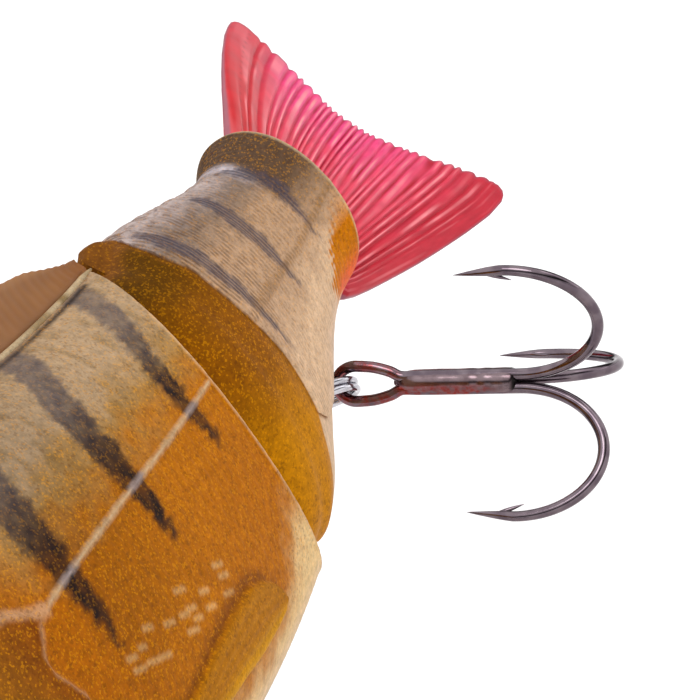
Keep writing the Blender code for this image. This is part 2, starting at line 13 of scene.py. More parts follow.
import bpy
import numpy as np
from mathutils import Matrix, Vector
from mathutils.geometry import delaunay_2d_cdt


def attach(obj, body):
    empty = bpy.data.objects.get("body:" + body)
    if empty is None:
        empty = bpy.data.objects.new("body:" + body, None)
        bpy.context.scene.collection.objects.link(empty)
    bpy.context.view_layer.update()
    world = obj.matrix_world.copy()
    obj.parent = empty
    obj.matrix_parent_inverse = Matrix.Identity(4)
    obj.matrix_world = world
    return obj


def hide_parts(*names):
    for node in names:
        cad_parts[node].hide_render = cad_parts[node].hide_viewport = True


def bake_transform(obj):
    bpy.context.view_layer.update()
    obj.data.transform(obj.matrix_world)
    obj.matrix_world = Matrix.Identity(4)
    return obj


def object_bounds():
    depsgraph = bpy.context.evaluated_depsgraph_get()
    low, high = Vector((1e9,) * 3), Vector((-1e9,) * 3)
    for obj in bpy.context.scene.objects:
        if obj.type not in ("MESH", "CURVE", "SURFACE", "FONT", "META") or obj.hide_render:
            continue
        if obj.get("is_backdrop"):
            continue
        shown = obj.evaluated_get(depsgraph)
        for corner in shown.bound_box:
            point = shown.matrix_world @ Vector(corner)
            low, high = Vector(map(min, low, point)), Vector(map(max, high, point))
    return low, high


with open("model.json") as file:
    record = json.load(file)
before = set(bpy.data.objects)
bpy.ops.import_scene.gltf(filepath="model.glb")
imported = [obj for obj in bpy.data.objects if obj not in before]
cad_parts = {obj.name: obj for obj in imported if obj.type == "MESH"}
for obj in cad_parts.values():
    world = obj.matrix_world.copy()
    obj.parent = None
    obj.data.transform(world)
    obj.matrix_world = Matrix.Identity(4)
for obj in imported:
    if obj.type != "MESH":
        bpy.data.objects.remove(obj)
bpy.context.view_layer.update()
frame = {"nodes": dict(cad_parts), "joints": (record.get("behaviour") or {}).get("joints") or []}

MM = 0.001
LEFT, RIGHT = -1, 1
SIDES = {"left": LEFT, "right": RIGHT}
PAINT_LEVEL = 0.68
GOLD_FLAKE = (224, 148, 0)
DARK_FLAKE = (84, 42, 2)

# ---- driving dimensions, in mm

JOINTS = {joint["name"]: joint for joint in frame["joints"]}
JOINT_X = JOINTS["tail_hinge"]["pos_m"][0] / MM
FRONT_EDGE_X = 113
EDGE_SAG = 10.3
RIM_X = 158
RIM_WALL = 1
PAD_X = 155.3
SEAM = 0.01
ROUNDNESS = 2.1
HINGE_HEIGHTS = (7, -12)
SLOT_HALF = 1.4
SLOT_RADIUS = 3.5
SLOT_OPEN = radians(44)
# How far the socket and the dome lie inside the skin: in height and sideways.
SOCKET_GAP = (1.1, 0.1)
DOME_GAP = (1.7, 0.7)
# Hook recesses: centre and half axes of an ellipsoid.
FRONT_RECESS = (46, 0, -24), (6.5, 4.6, 5.6)
TAIL_RECESS = (140.5, 0, -17.4), (7.2, 4.6, 6.4)
EYE_X, EYE_Z = 20, 3.2
# Millimetres per radian of angle, for widths of lines on the flank, the gill cover and the tail.
FLANK_GIRTH = 22
GILL_GIRTH = 11
TAIL_GIRTH = 9
TAIL_ROW = 0.95
FRONT_COLUMNS = 241
TAIL_COLUMNS = 261

# Outline of the fish: x, back, belly, half width.
STATIONS = np.array((
    (4, 1.6, -1.8, 1.5), (5.2, 3.4, -3.8, 3), (8, 5.8, -6.6, 4.9), (15, 9.8, -11.4, 7.6),
    (27, 15.4, -17, 10.3), (45, 21.4, -22.4, 12.3), (60, 23.4, -25.4, 13), (75, 22.6, -26.8, 13),
    (90, 20.6, -27.2, 12.5), (103, 19.4, -26.7, 12), (113, 18.9, -25.6, 11.6), (121, 18.6, -23.9, 10.8),
    (129, 17.4, -20.6, 9.2), (138, 15.3, -16.2, 8.1), (147, 13.6, -12.4, 7.3), (153, 13.6, -10.7, 7.7),
    (158, 14.9, -10, 9.4),
))

# Edge of the scaled skin on the tail section: angle and x. It is wavy on the flank and runs
# back along the belly, so that the smooth joint surface reaches the hook's recess.
SKIN_EDGE = (
    (0, 121.4), (0.1, 120.8), (0.38, 118.5), (0.66, 117.8), (0.9, 118.7), (1.08, 118.5), (1.29, 119),
    (1.5, 120.2), (1.67, 121.2), (1.85, 121.3), (2.03, 121.3), (2.18, 124.5), (2.35, 130), (2.52, 134.5),
    (2.75, 137), (3.15, 138),
)

# ---- number helpers


def srgb(red, green, blue):
    """Linear colour from 8-bit sRGB."""
    values = np.array((red, green, blue), float) / 255
    return np.where(values <= 0.04045, values / 12.92, ((values + 0.055) / 1.055) ** 2.4)


def step(low, high, value):
    """Smooth ramp from 0 at low to 1 at high. high may be below low."""
    t = np.clip((value - low) / (high - low), 0, 1)
    return t * t * (3 - 2 * t)


def bump(value, centre, half):
    """Smooth hump, 1 at centre and 0 at half away from it."""
    return step(half, 0, np.abs(value - centre))


def mix(under, over, amount):
    """Blends colours with a mask of one value per point."""
    return under * (1 - amount[..., None]) + over * amount[..., None]


class Coat:
    """Layers of 8-bit sRGB paint on a grid of points."""

    def __init__(self, shape, *rgb):
        self.colour = np.zeros((*shape, 3)) + srgb(*rgb)

    def add(self, red, green, blue, amount):
        self.colour = mix(self.colour, srgb(red, green, blue), amount)


def hashed(ix, iy, iz, seed):
    """Repeatable random numbers from 0 to 1 on whole-number places."""
    n = (ix * 73856093) ^ (iy * 19349663) ^ (iz * 83492791) ^ (seed * 2654435761)
    n = (n ^ (n >> 13)) & 0xFFFFFFFF
    n = (n * 1274126177) & 0xFFFFFFFF
    return (n ^ (n >> 16)) / 0xFFFFFFFF


def noise(points, size, seed, squeeze=(1, 1, 1)):
    """Smooth noise from -1 to 1 over 3-D points, with lumps about size across, less where squeezed."""
    scaled = points * np.array(squeeze) / size
    cell = np.floor(scaled).astype(np.int64)
    part = scaled - cell
    part = part * part * (3 - 2 * part)
    total = 0
    for corner in product((0, 1), repeat=3):
        weights = [part[..., k] if corner[k] else 1 - part[..., k] for k in range(3)]
        total = total + prod(weights) * hashed(*(cell[..., k] + corner[k] for k in range(3)), seed)
    return total * 2 - 1


def curve(table, where):
    """Linear interpolation in a table of pairs."""
    table = np.asarray(table, float)
    return np.interp(where, table[:, 0], table[:, 1])


# ---- body surface


def outline(x):
    """Back, belly and half width at x, by the same cubic rule as the CAD."""
    places = STATIONS[:, 0]
    count = len(places)
    x = np.clip(x, places[0], places[-1])
    i = np.clip(np.searchsorted(places, x, side="left") - 1, 0, count - 2)
    width = places[i + 1] - places[i]
    t = (x - places[i]) / width
    after = np.minimum(np.arange(count) + 1, count - 1)
    before = np.maximum(np.arange(count) - 1, 0)
    slopes = (STATIONS[after] - STATIONS[before]) / (places[after] - places[before])[:, None]
    return [
        (2 * t**3 - 3 * t**2 + 1) * STATIONS[i, k]
        + (t**3 - 2 * t**2 + t) * width * slopes[i, k]
        + (3 * t**2 - 2 * t**3) * STATIONS[i + 1, k]
        + (t**3 - t**2) * width * slopes[i + 1, k]
        for k in (1, 2, 3)
    ]


def oval(angle, top, bottom, half_width):
    """y and z of a rounded section of the left side."""
    across = np.abs(np.sin(angle)) ** (2 / ROUNDNESS)
    up = np.cos(angle)
    middle = 0.25 * (top + bottom)
    reach = np.where(up > 0, top - middle, middle - bottom)
    return -half_width * across, middle + reach * np.sign(up) * np.abs(up) ** (2 / ROUNDNESS)


def body_point(x, angle, inset_height=0, inset_side=0):
    top, bottom, half_width = outline(x)
    y, z = oval(angle, top - inset_height, bottom + inset_height, half_width - inset_side)
    return np.stack(np.broadcast_arrays(x, y, z), axis=-1)


def surface_normals(points):
    """Outward normals of a grid of points on the left side."""
    normal = np.cross(np.gradient(points, axis=1), np.gradient(points, axis=0))
    normal = normal / np.maximum(np.linalg.norm(normal, axis=-1, keepdims=True), 1e-9)
    outward = (points + np.array((0, 0, 2))) * np.array((0, 1, 1))
    flip = np.sign((normal * outward).sum(-1, keepdims=True))
    return normal * np.where(flip == 0, 1, flip)


def scale_relief(x, angle, pitch, girth=60):
    """Overlapping scales from 0 to 1: each one rises towards its rear edge."""
    row = angle / pi * girth / (pitch * 0.86)
    near = np.floor(row)
    best = np.zeros_like(x)
    for offset in (-1, 0, 1):
        line = near + offset
        along = x / pitch + 0.5 * (line % 2)
        cell = np.floor(along)
        dx = along - cell - 0.35
        dy = (row - line - 0.5) * 0.86
        reach = np.hypot(dx / 0.62, dy / 0.62)
        best = np.maximum(best, np.where(reach < 1, (0.45 + 0.55 * dx / 0.62) * (1 - reach**6), 0))
    return best


def recess(points, centre, axes):
    """Pushes the belly up to the roof of an ellipsoid where a hook hangs."""
    inside = ((points[..., 0] - centre[0]) / axes[0]) ** 2 + (points[..., 1] / axes[1]) ** 2
    reach = axes[2] * np.sqrt(np.clip(1 - inside, 0, 1))
    z = points[..., 2]
    lift = (inside < 1) & (np.abs(z - centre[2]) < reach)
    lifted = points.copy()
    lifted[..., 2] = np.where(lift, centre[2] + reach, z)
    return lifted, lift


# ---- mesh makers


def make_object(name, points, faces, material, colours=None, values=None, smooth_deg=50):
    """A mesh object from points in mm, with optional per-point colour and number attributes."""
    data = bpy.data.meshes.new(name)
    data.from_pydata((np.reshape(points, (-1, 3)) * MM).tolist(), [], faces)
    data.validate()
    data.shade_smooth()
    data.set_sharp_from_angle(angle=radians(smooth_deg))
    if colours is not None:
        layer = data.attributes.new("paint", "FLOAT_COLOR", "POINT")
        full = np.ones((len(data.vertices), 4), np.float32)
        full[:, :3] = np.clip(np.reshape(colours, (-1, 3)), 0, 1)
        layer.data.foreach_set("color", full.ravel())
    for key, numbers in (values or {}).items():
        layer = data.attributes.new(key, "FLOAT", "POINT")
        layer.data.foreach_set("value", np.asarray(numbers, np.float32).ravel())
    data.materials.append(material)
    obj = bpy.data.objects.new(name, data)
    bpy.context.scene.collection.objects.link(obj)
    return obj


def settle(piece, body, node=None):
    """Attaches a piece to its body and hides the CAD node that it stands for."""
    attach(piece, body)
    if node:
        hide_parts(node)


def grid_faces(rows, columns, wrap=False, flip=False, start=0):
    r, c = np.meshgrid(np.arange(rows - 1), np.arange(columns if wrap else columns - 1), indexing="ij")
    here, beside = r * columns + c, r * columns + (c + 1) % columns
    quads = np.stack((here, beside, beside + columns, here + columns), -1).reshape(-1, 4) + start
    return (quads[:, ::-1] if flip else quads).tolist()


def tube_faces(rows, sides, flip=False, start=0):
    """Faces of a tube of rings, with a cap at both ends."""
    first = list(range(start, start + sides))
    last = [k + (rows - 1) * sides for k in first]
    caps = [first, last[::-1]] if flip else [first[::-1], last]
    return grid_faces(rows, sides, True, flip, start) + caps


def make_sheet(name, sides, colour, material, smooth_deg):
    """A closed sheet from the grids of its two sides, joined by a strip all round."""
    rows, columns = sides[0].shape[0], 2 * sides[0].shape[1]
    faces = grid_faces(rows, columns, wrap=True)
    for row in (0, rows - 1):
        for k in range(columns // 2 - 1):
            near, far = row * columns + k, row * columns + columns - 1 - k
            quad = [near, near + 1, far - 1, far]
            faces.append(quad if row else quad[::-1])
    points = np.concatenate((sides[0], sides[1][:, ::-1]), axis=1)
    colours = np.concatenate((colour, colour[:, ::-1]), axis=1)
    return make_object(name, points, faces, material, colours, smooth_deg=smooth_deg)


def half_shell(name, side, points, colours, flake, material):
    """A closed half: a grid whose border lies in the seam plane, closed by one flat face there."""
    rows, columns = points.shape[:2]
    placed = points.copy()
    placed[..., 1] = np.minimum(placed[..., 1], -SEAM)
    placed[0, :, 1] = placed[-1, :, 1] = placed[:, 0, 1] = placed[:, -1, 1] = -SEAM
    placed[..., 1] *= -side
    placed = placed.reshape(-1, 3)
    index = np.arange(rows * columns).reshape(rows, columns)
    border = [*index[0, :], *index[1:, -1], *index[-1, -2::-1], *index[-2:0:-1, 0]]
    faces = grid_faces(rows, columns, flip=side == LEFT)
    rim = [Vector((placed[i][0], placed[i][2])) for i in border]
    found = delaunay_2d_cdt(rim, [], [list(range(len(rim)))], 1, 1e-5)
    for triangle in found[2]:
        corners = [int(border[found[3][k][0]]) for k in triangle]
        faces.append(corners if side == RIGHT else corners[::-1])
    return make_object(name, placed, faces, material, colours, {"flake": flake})


def wire_points(path, radii, sides, first_normal=None):
    """Rings round a path by parallel transport. first_normal, where given, is kept all along it."""
    path = np.asarray(path, float)
    tangent = np.gradient(path, axis=0)
    tangent /= np.linalg.norm(tangent, axis=1, keepdims=True)
    normal = np.array(Vector(tangent[0]).orthogonal().normalized())
    turn = 2 * pi * np.arange(sides) / sides
    rings = []
    for i, point in enumerate(path):
        if first_normal is not None:
            normal = np.asarray(first_normal, float)
        normal = normal - tangent[i] * normal.dot(tangent[i])
        normal /= np.linalg.norm(normal)
        across = np.cross(tangent[i], normal)
        spoke = np.outer(np.cos(turn), normal) + np.outer(np.sin(turn), across)
        rings.append(point + spoke * radii[i])
    return np.array(rings)


def rounded_tube(path, radii, sides, first_normal=None):
    """Rings round a path, with three smaller ones at each end that round it off."""
    rings = wire_points(path, radii, sides, first_normal)
    ends = []
    for end, beside, radius in ((rings[0], rings[1], radii[0]), (rings[-1], rings[-2], radii[-1])):
        centre = end.mean(0)
        out = centre - beside.mean(0)
        out /= np.linalg.norm(out)
        ends.append([
            centre + (end - centre) * sqrt(1 - (1 - part) ** 2) + out * radius * 0.6 * (1 - part)
            for part in (0.12, 0.5, 0.8)
        ])
    return np.array([*ends[0], *rings, *ends[1][::-1]])


def wire(name, path, radius, material, sides=18, first_normal=None, parts=(), marks=None):
    """A wire with rounded ends, and any further closed grids that belong to the same piece."""
    radii = np.broadcast_to(np.asarray(radius, float), (len(path),))
    stacks = [rounded_tube(path, radii, sides, first_normal)]
    stacks += [rounded_tube(more_path, more_radii, sides) for more_path, more_radii in parts]
    faces, start = [], 0
    for stack in stacks:
        faces += tube_faces(len(stack), sides, start=start)
        start += len(stack) * sides
    points = np.concatenate([stack.reshape(-1, 3) for stack in stacks])
    values = {key: rule(points) for key, rule in (marks or {}).items()}
    return make_object(name, points, faces, material, values=values, smooth_deg=60)


def smooth_path(points, count):
    """A smooth line of count points through the given ones."""
    points = np.asarray(points, float)
    length = np.concatenate(([0], np.cumsum(np.linalg.norm(np.diff(points, axis=0), axis=1))))
    ends = np.concatenate(([2 * points[0] - points[1]], points, [2 * points[-1] - points[-2]]))
    found = []
    for s in np.linspace(0, length[-1], count):
        i = min(max(np.searchsorted(length, s, side="right") - 1, 0), len(points) - 2)
        t = (s - length[i]) / (length[i + 1] - length[i])
        a, b, c, d = ends[i : i + 4]
        curved = (2 * a - 5 * b + 4 * c - d) * t**2 + (3 * b - a - 3 * c + d) * t**3
        found.append(0.5 * (2 * b + (c - a) * t + curved))
    return np.array(found)


# ---- materials


class Nodes:
    """Short calls for building a node material."""

    def __init__(self, name):
        self.material = bpy.data.materials.new(name)
        self.material.use_nodes = True
        self.tree = self.material.node_tree
        self.shader = self.tree.nodes["Principled BSDF"]
        self.place = self.add("TexCoord", "Object")

    def add(self, kind, output, inputs=(), **settings):
        """Makes a node, sets or links its inputs, and gives back one of its outputs."""
        made = self.tree.nodes.new("ShaderNode" + kind)
        for key, value in settings.items():
            setattr(made, key, value)
        for key, value in dict(inputs).items():
            self.fill(made.inputs[key], value)
        return made.outputs[output]

    def fill(self, target, value):
        """Sets a socket to a number or colour, or links it to another socket."""
        if isinstance(value, bpy.types.NodeSocket):
            self.tree.links.new(value, target)
        elif np.size(value) == 3 and target.type == "RGBA":
            target.default_value = (*[float(v) for v in value], 1)
        else:
            target.default_value = value

    def attribute(self, name, output="Fac"):
        return self.add("Attribute", output, attribute_name=name)

    def noise(self, size, detail=2, roughness=0.5):
        """Noise with lumps about size mm across."""
        inputs = {"Vector": self.place, "Scale": 1 / (size * MM), "Detail": detail, "Roughness": roughness}
        return self.add("TexNoise", "Fac", inputs)

    def cells(self, size):
        """One random number for each cell of about size mm."""
        colour = self.add("TexVoronoi", "Color", {"Vector": self.place, "Scale": 1 / (size * MM)})
        return self.add("SeparateColor", 0, {0: colour})

    def times(self, first, second):
        return self.add("Math", 0, {0: first, 1: second}, operation="MULTIPLY")

    def ramp(self, value, low, high):
        """0 below low and 1 above high."""
        inputs = {"Value": value, "From Min": low, "From Max": high}
        return self.add("MapRange", "Result", inputs, interpolation_type="SMOOTHSTEP")

    def scale_range(self, value, low, high):
        """Maps 0 to 1 onto low to high."""
        return self.add("MapRange", "Result", {"Value": value, "To Min": low, "To Max": high})

    def blend(self, under, over, amount):
        inputs = {0: amount, 6: under, 7: over}
        return self.add("Mix", 2, inputs, data_type="RGBA", clamp_result=True)

    def shaded_paint(self, shade):
        """The colour that the mesh carries, made lighter or darker."""
        inputs = {0: self.attribute("paint", "Color"), "Scale": shade}
        return self.add("VectorMath", 0, inputs, operation="SCALE")

    def set(self, **values):
        for key, value in values.items():
            self.fill(self.shader.inputs[key.replace("_", " ")], value)

    def bump(self, height, distance, strength):
        """Surface relief of distance mm."""
        inputs = {"Height": height, "Distance": distance * MM, "Strength": strength}
        self.set(Normal=self.add("Bump", "Normal", inputs))


def skin_material(name):
    """Painted body: a colour layer from the mesh, mottled and strewn with fine flakes."""
    made = Nodes(name)
    flake = made.attribute("flake")
    clouds = made.noise(1, detail=4, roughness=0.65)
    grain = made.noise(0.32, detail=2, roughness=0.6)
    mottle = made.add("Math", 0, {0: made.times(clouds, 0.65), 1: made.times(grain, 0.35)}, operation="ADD")
    colour = made.shaded_paint(made.times(made.scale_range(mottle, 0.25, 1.75), PAINT_LEVEL))
    for flake_colour, size, start, full, strength in (
        (GOLD_FLAKE, 0.22, 0.7, 0.98, 0.36),
        (DARK_FLAKE, 0.3, 0.22, 0.02, 0.42),
    ):
        chosen = made.ramp(made.cells(size), start, full)
        amount = made.times(chosen, made.times(flake, strength))
        colour = made.blend(colour, srgb(*flake_colour), amount)
    made.set(Base_Color=colour, Metallic=0, Roughness=made.scale_range(grain, 0.38, 0.6))
    made.set(Specular_IOR_Level=0.03)
    made.bump(grain, 0.03, 0.45)
    return made.material


def soft_material(name, roughness):
    """Soft translucent plastic that takes its colour from the mesh."""
    made = Nodes(name)
    clouds = made.noise(3, detail=3)
    made.set(Base_Color=made.shaded_paint(made.scale_range(clouds, 0.72, 0.92)))
    made.set(Roughness=made.scale_range(clouds, roughness - 0.06, roughness + 0.08))
    made.set(Subsurface_Weight=0.12, Subsurface_Scale=0.0012, Subsurface_Radius=(1, 0.35, 0.3))
    made.set(Specular_IOR_Level=0.16)
    made.bump(made.noise(0.3), 0.02, 0.4)
    return made.material


def metal_material(name, colour, tint, low, high, grain=0.7, glow=False):
    """Worn plated metal, with fine drawing marks. The last flag adds a painted reflection of the red tail
    fin, where the mesh marks it near the body.
    """
    made = Nodes(name)
    marks = made.noise(0.12, detail=3, roughness=0.7)
    base = made.blend(srgb(*colour), srgb(*tint), made.ramp(made.noise(grain * 3, detail=3), 0.35, 0.7))
    if glow:
        # Painted reflection: the red of the tail fin, in patches where the mesh marks it.
        patches = made.ramp(made.noise(1.6, detail=5, roughness=0.7), 0.36, 0.66)
        base = made.blend(base, srgb(132, 40, 30), made.times(made.attribute("copper"), patches))
        base = made.blend(base, (0.012, 0.01, 0.01), made.attribute("pit"))
    made.set(Base_Color=base, Metallic=1, Roughness=made.scale_range(marks, low, high))
    made.bump(marks, 0.006, 0.5)
    return made.material


def eye_material():
    made = Nodes("domed_eye")
    streaks = made.noise(0.5, detail=3)
    made.set(Base_Color=made.shaded_paint(made.scale_range(streaks, 0.7, 1.3)))
    made.set(Roughness=made.scale_range(streaks, 0.2, 0.32), Coat_Weight=1, Coat_Roughness=0.02)
    return made.material


def floor_material():
    made = Nodes("pale_floor")
    drift = made.noise(240, detail=1)
    made.set(Base_Color=made.blend((0.93, 0.93, 0.93), (0.95, 0.95, 0.95), drift), Roughness=0.9)
    made.set(Specular_IOR_Level=0.1)
    return made.material


def make_materials():
    metal = metal_material
    return {
        "front_skin": skin_material("perch_front_paint"),
        "tail_skin": skin_material("perch_tail_paint"),
        "soft_tail": soft_material("pink_soft_plastic", 0.36),
        "dorsal": soft_material("brown_soft_plastic", 0.45),
        "steel": metal("bright_stainless", (196, 194, 200), (164, 162, 168), 0.08, 0.2),
        "black_nickel": metal("black_nickel_plate", (114, 102, 108), (92, 80, 88), 0.04, 0.12, glow=True),
        "braze": metal("brazed_shank", (118, 102, 106), (96, 80, 84), 0.12, 0.26, 0.5, glow=True),
        "lead": metal("cast_lead", (128, 130, 134), (104, 106, 110), 0.5, 0.7),
        "brass": metal("drawn_brass", (206, 172, 98), (186, 146, 76), 0.2, 0.34),
        "eye": eye_material(),
        "floor": floor_material(),
    }


# ---- front section

# Dark bars: angle and x of the middle line, with half widths by angle.
FRONT_BARS = (
    (
        ((0.2, 104.5), (0.34, 104), (0.7, 100.6), (1.03, 97), (1.3, 95.6), (1.57, 96), (1.75, 97.5)),
        ((0.2, 2.6), (0.45, 2.5), (0.9, 2.2), (1.2, 1.7), (1.42, 1.35), (1.58, 0.1)),
    ),
    (
        ((0.2, 86.5), (0.36, 85.6), (0.57, 83.6), (0.83, 80), (1.08, 78.3), (1.31, 77.7), (1.6, 77.3)),
        ((0.2, 2.8), (0.45, 2.9), (0.8, 2.7), (1.1, 2.5), (1.35, 1.9), (1.5, 1.5), (1.63, 0.1)),
    ),
    (
        ((0.2, 66.5), (0.6, 63.5), (0.88, 61.6), (1.03, 60.5), (1.23, 59.6), (1.41, 59), (1.7, 58.6)),
        ((0.2, 3), (0.7, 3.1), (1, 2.9), (1.25, 2.5), (1.4, 1.8), (1.55, 1.2), (1.7, 0.1)),
    ),
    (
        ((0.2, 47.5), (0.6, 45), (1, 42.6), (1.3, 41.8)),
        ((0.2, 2.8), (0.6, 2.8), (0.95, 2.2), (1.12, 0.1)),
    ),
    (
        ((0.2, 30), (0.7, 28), (1, 27)),
        ((0.2, 2.2), (0.5, 2), (0.85, 0.1)),
    ),
)
LATERAL_ANGLE = 1.335
# Gill cover: angle and x of its upper, rear and front lines.
GILL_UPPER = ((0.95, 31), (1.05, 37), (1.12, 44), (1.18, 48), (1.24, 49.8), (1.297, 51.2), (1.335, 53.5))
GILL_EDGE = (
    (1.335, 53.8), (1.34, 51.6), (1.39, 50), (1.454, 48.3), (1.524, 48.1), (1.58, 48.8), (1.675, 49.8),
    (1.8, 49.4), (2.05, 46), (2.35, 39), (2.7, 29),
)
GILL_FRONT = ((1, 31.5), (1.3, 34), (1.7, 34.5), (2.1, 32), (2.5, 26))
# Pectoral fin: x and the angles of its upper and lower edge.
PECTORAL_TOP = (
    (54, 2.19), (58, 2.13), (65, 2.095), (72, 2.05), (78, 2.03), (84.8, 2.034), (87.8, 2.085), (89.8, 2.14),
    (91.6, 2.23), (92.6, 2.33),
)
PECTORAL_BOTTOM = (
    (54, 2.23), (58, 2.28), (65, 2.31), (72, 2.325), (77, 2.335), (83, 2.365), (88, 2.372), (90.6, 2.366),
    (92.6, 2.33),
)
# Upper limit of the pale belly: x and angle.
FRONT_BELLY = (
    (40, 2.5), (60, 2.48), (80, 2.44), (92, 2.38), (97, 2.24), (100, 2.12), (104, 2.02), (113, 1.95),
)


def edge_x(angle):
    return FRONT_EDGE_X - EDGE_SAG * np.abs(np.sin(angle))


def bar_mask(x, angle, places, bars, softness, widen=(1, 1, 1, 1, 1)):
    """How much each point is covered by a bar with ragged edges as wide as softness."""
    cover = np.zeros_like(x)
    shift = softness * noise(places, 1.1, 5, (0.6, 1.6, 1.6))
    shift = shift + 0.5 * softness * noise(places, 0.5, 6, (1, 2.5, 2.5))
    for (line, half), wider in zip(bars, widen):
        away = np.abs(x - curve(line, angle) + shift) - curve(half, angle) * wider
        first, last = half[0][0], half[-1][0]
        ends = step(first - 0.05, first + 0.05, angle) * step(last + 0.01, last - 0.03, angle)
        cover = np.maximum(cover, step(softness, -softness, away) * ends)
    return cover


def pectoral_shape(x, angle):
    """Cover of the pectoral fin, place across it from -1 to 1 and place along it from 0 to 1."""
    first, last = PECTORAL_TOP[0][0], PECTORAL_TOP[-1][0]
    along = (x - first) / (last - first)
    top = curve(PECTORAL_TOP, x)
    bottom = curve(PECTORAL_BOTTOM, x)
    half = np.maximum(0.5 * (bottom - top), 1e-4)
    across = (angle - 0.5 * (top + bottom)) / half
    inside = step(-0.012, 0.018, (1 - np.abs(across)) * half) * (along > 0) * (along < 1)
    return inside, across, along


def gill_line(line, x, angle):
    """Distance in mm to a line of the gill cover."""
    best = np.full(x.shape, 1e3)
    for (a0, x0), (a1, x1) in zip(line, line[1:]):
        dx, dy = x1 - x0, (a1 - a0) * GILL_GIRTH
        px, py = x - x0, (angle - a0) * GILL_GIRTH
        t = np.clip((px * dx + py * dy) / (dx * dx + dy * dy + 1e-9), 0, 1)
        best = np.minimum(best, np.hypot(px - t * dx, py - t * dy))
    return best


def gill_cover(x, angle):
    """1 on the gill cover plate and 0 behind it."""
    back = curve(((0.8, 26), *GILL_UPPER[:5], *GILL_EDGE[1:], (2.9, 24)), angle)
    return step(0.35, -0.35, x - back) * step(0.85, 1, angle) * step(2.85, 2.7, angle)


def fleck_mask(x, angle):
    """Short pale strokes in three slanting rows on the flank above the pectoral fin."""
    cover = np.zeros(x.shape)
    tilt, share_left_out = 0.32, 0.62
    for row, place in product(range(3), range(9)):
        jitter = hashed(np.int64(row), np.int64(place), np.arange(4), 71)
        if jitter[0] > share_left_out:
            continue
        middle = 58.5 + 2.7 * place + 1.4 * jitter[1]
        level = 39.6 + 0.14 * (middle - 68) + 1.5 * (row - 1) + 0.8 * (jitter[2] - 0.5)
        dx, dy = x - middle, angle * FLANK_GIRTH - level
        along = dx * cos(tilt) + dy * sin(tilt)
        across = dy * cos(tilt) - dx * sin(tilt)
        reach = 0.8 + 0.6 * jitter[3]
        stroke = step(0.46, 0.08, np.abs(across)) * step(reach + 0.3, reach - 0.4, np.abs(along))
        cover = np.maximum(cover, stroke)
    return cover


def front_relief(x, angle, places):
    """Height of the moulded detail over the plain body, in mm."""
    to_edge = edge_x(angle) - x
    height = 0.07 * scale_relief(x, angle, 1.7) * step(50, 56, x) * step(2.95, 2.75, angle)
    line = np.abs(angle - LATERAL_ANGLE) * FLANK_GIRTH
    height += 0.2 * step(0.5, 0.1, line) * step(52, 54, x) * step(0.3, 1.5, to_edge)
    height += 0.45 * gill_cover(x, angle)
    rim = np.minimum(gill_line(GILL_EDGE, x, angle), gill_line(GILL_UPPER[::-1], x, angle))
    height += 0.07 * step(0.6, 0.1, rim) - 0.25 * step(0.6, 0.1, gill_line(GILL_FRONT, x, angle))
    fin, across, along = pectoral_shape(x, angle)
    rays = 0.5 + 0.5 * np.cos(across * (7 - 2 * along) * pi)
    height = height * (1 - fin) + fin * (0.55 + 0.06 * rays * step(0.1, 0.4, along))
    mouth = np.abs(places[..., 2] + 1.4 + 0.24 * (x - 4)) + 5 * step(15, 17, x)
    height -= 0.45 * step(0.55, 0.1, mouth)
    eye = np.hypot(x - EYE_X, places[..., 2] - EYE_Z)
    height += 0.35 * bump(eye, 5.1, 0.9) * (np.abs(places[..., 1]) > 4)
    return height + 0.1 * step(0.9, 0.5, to_edge)


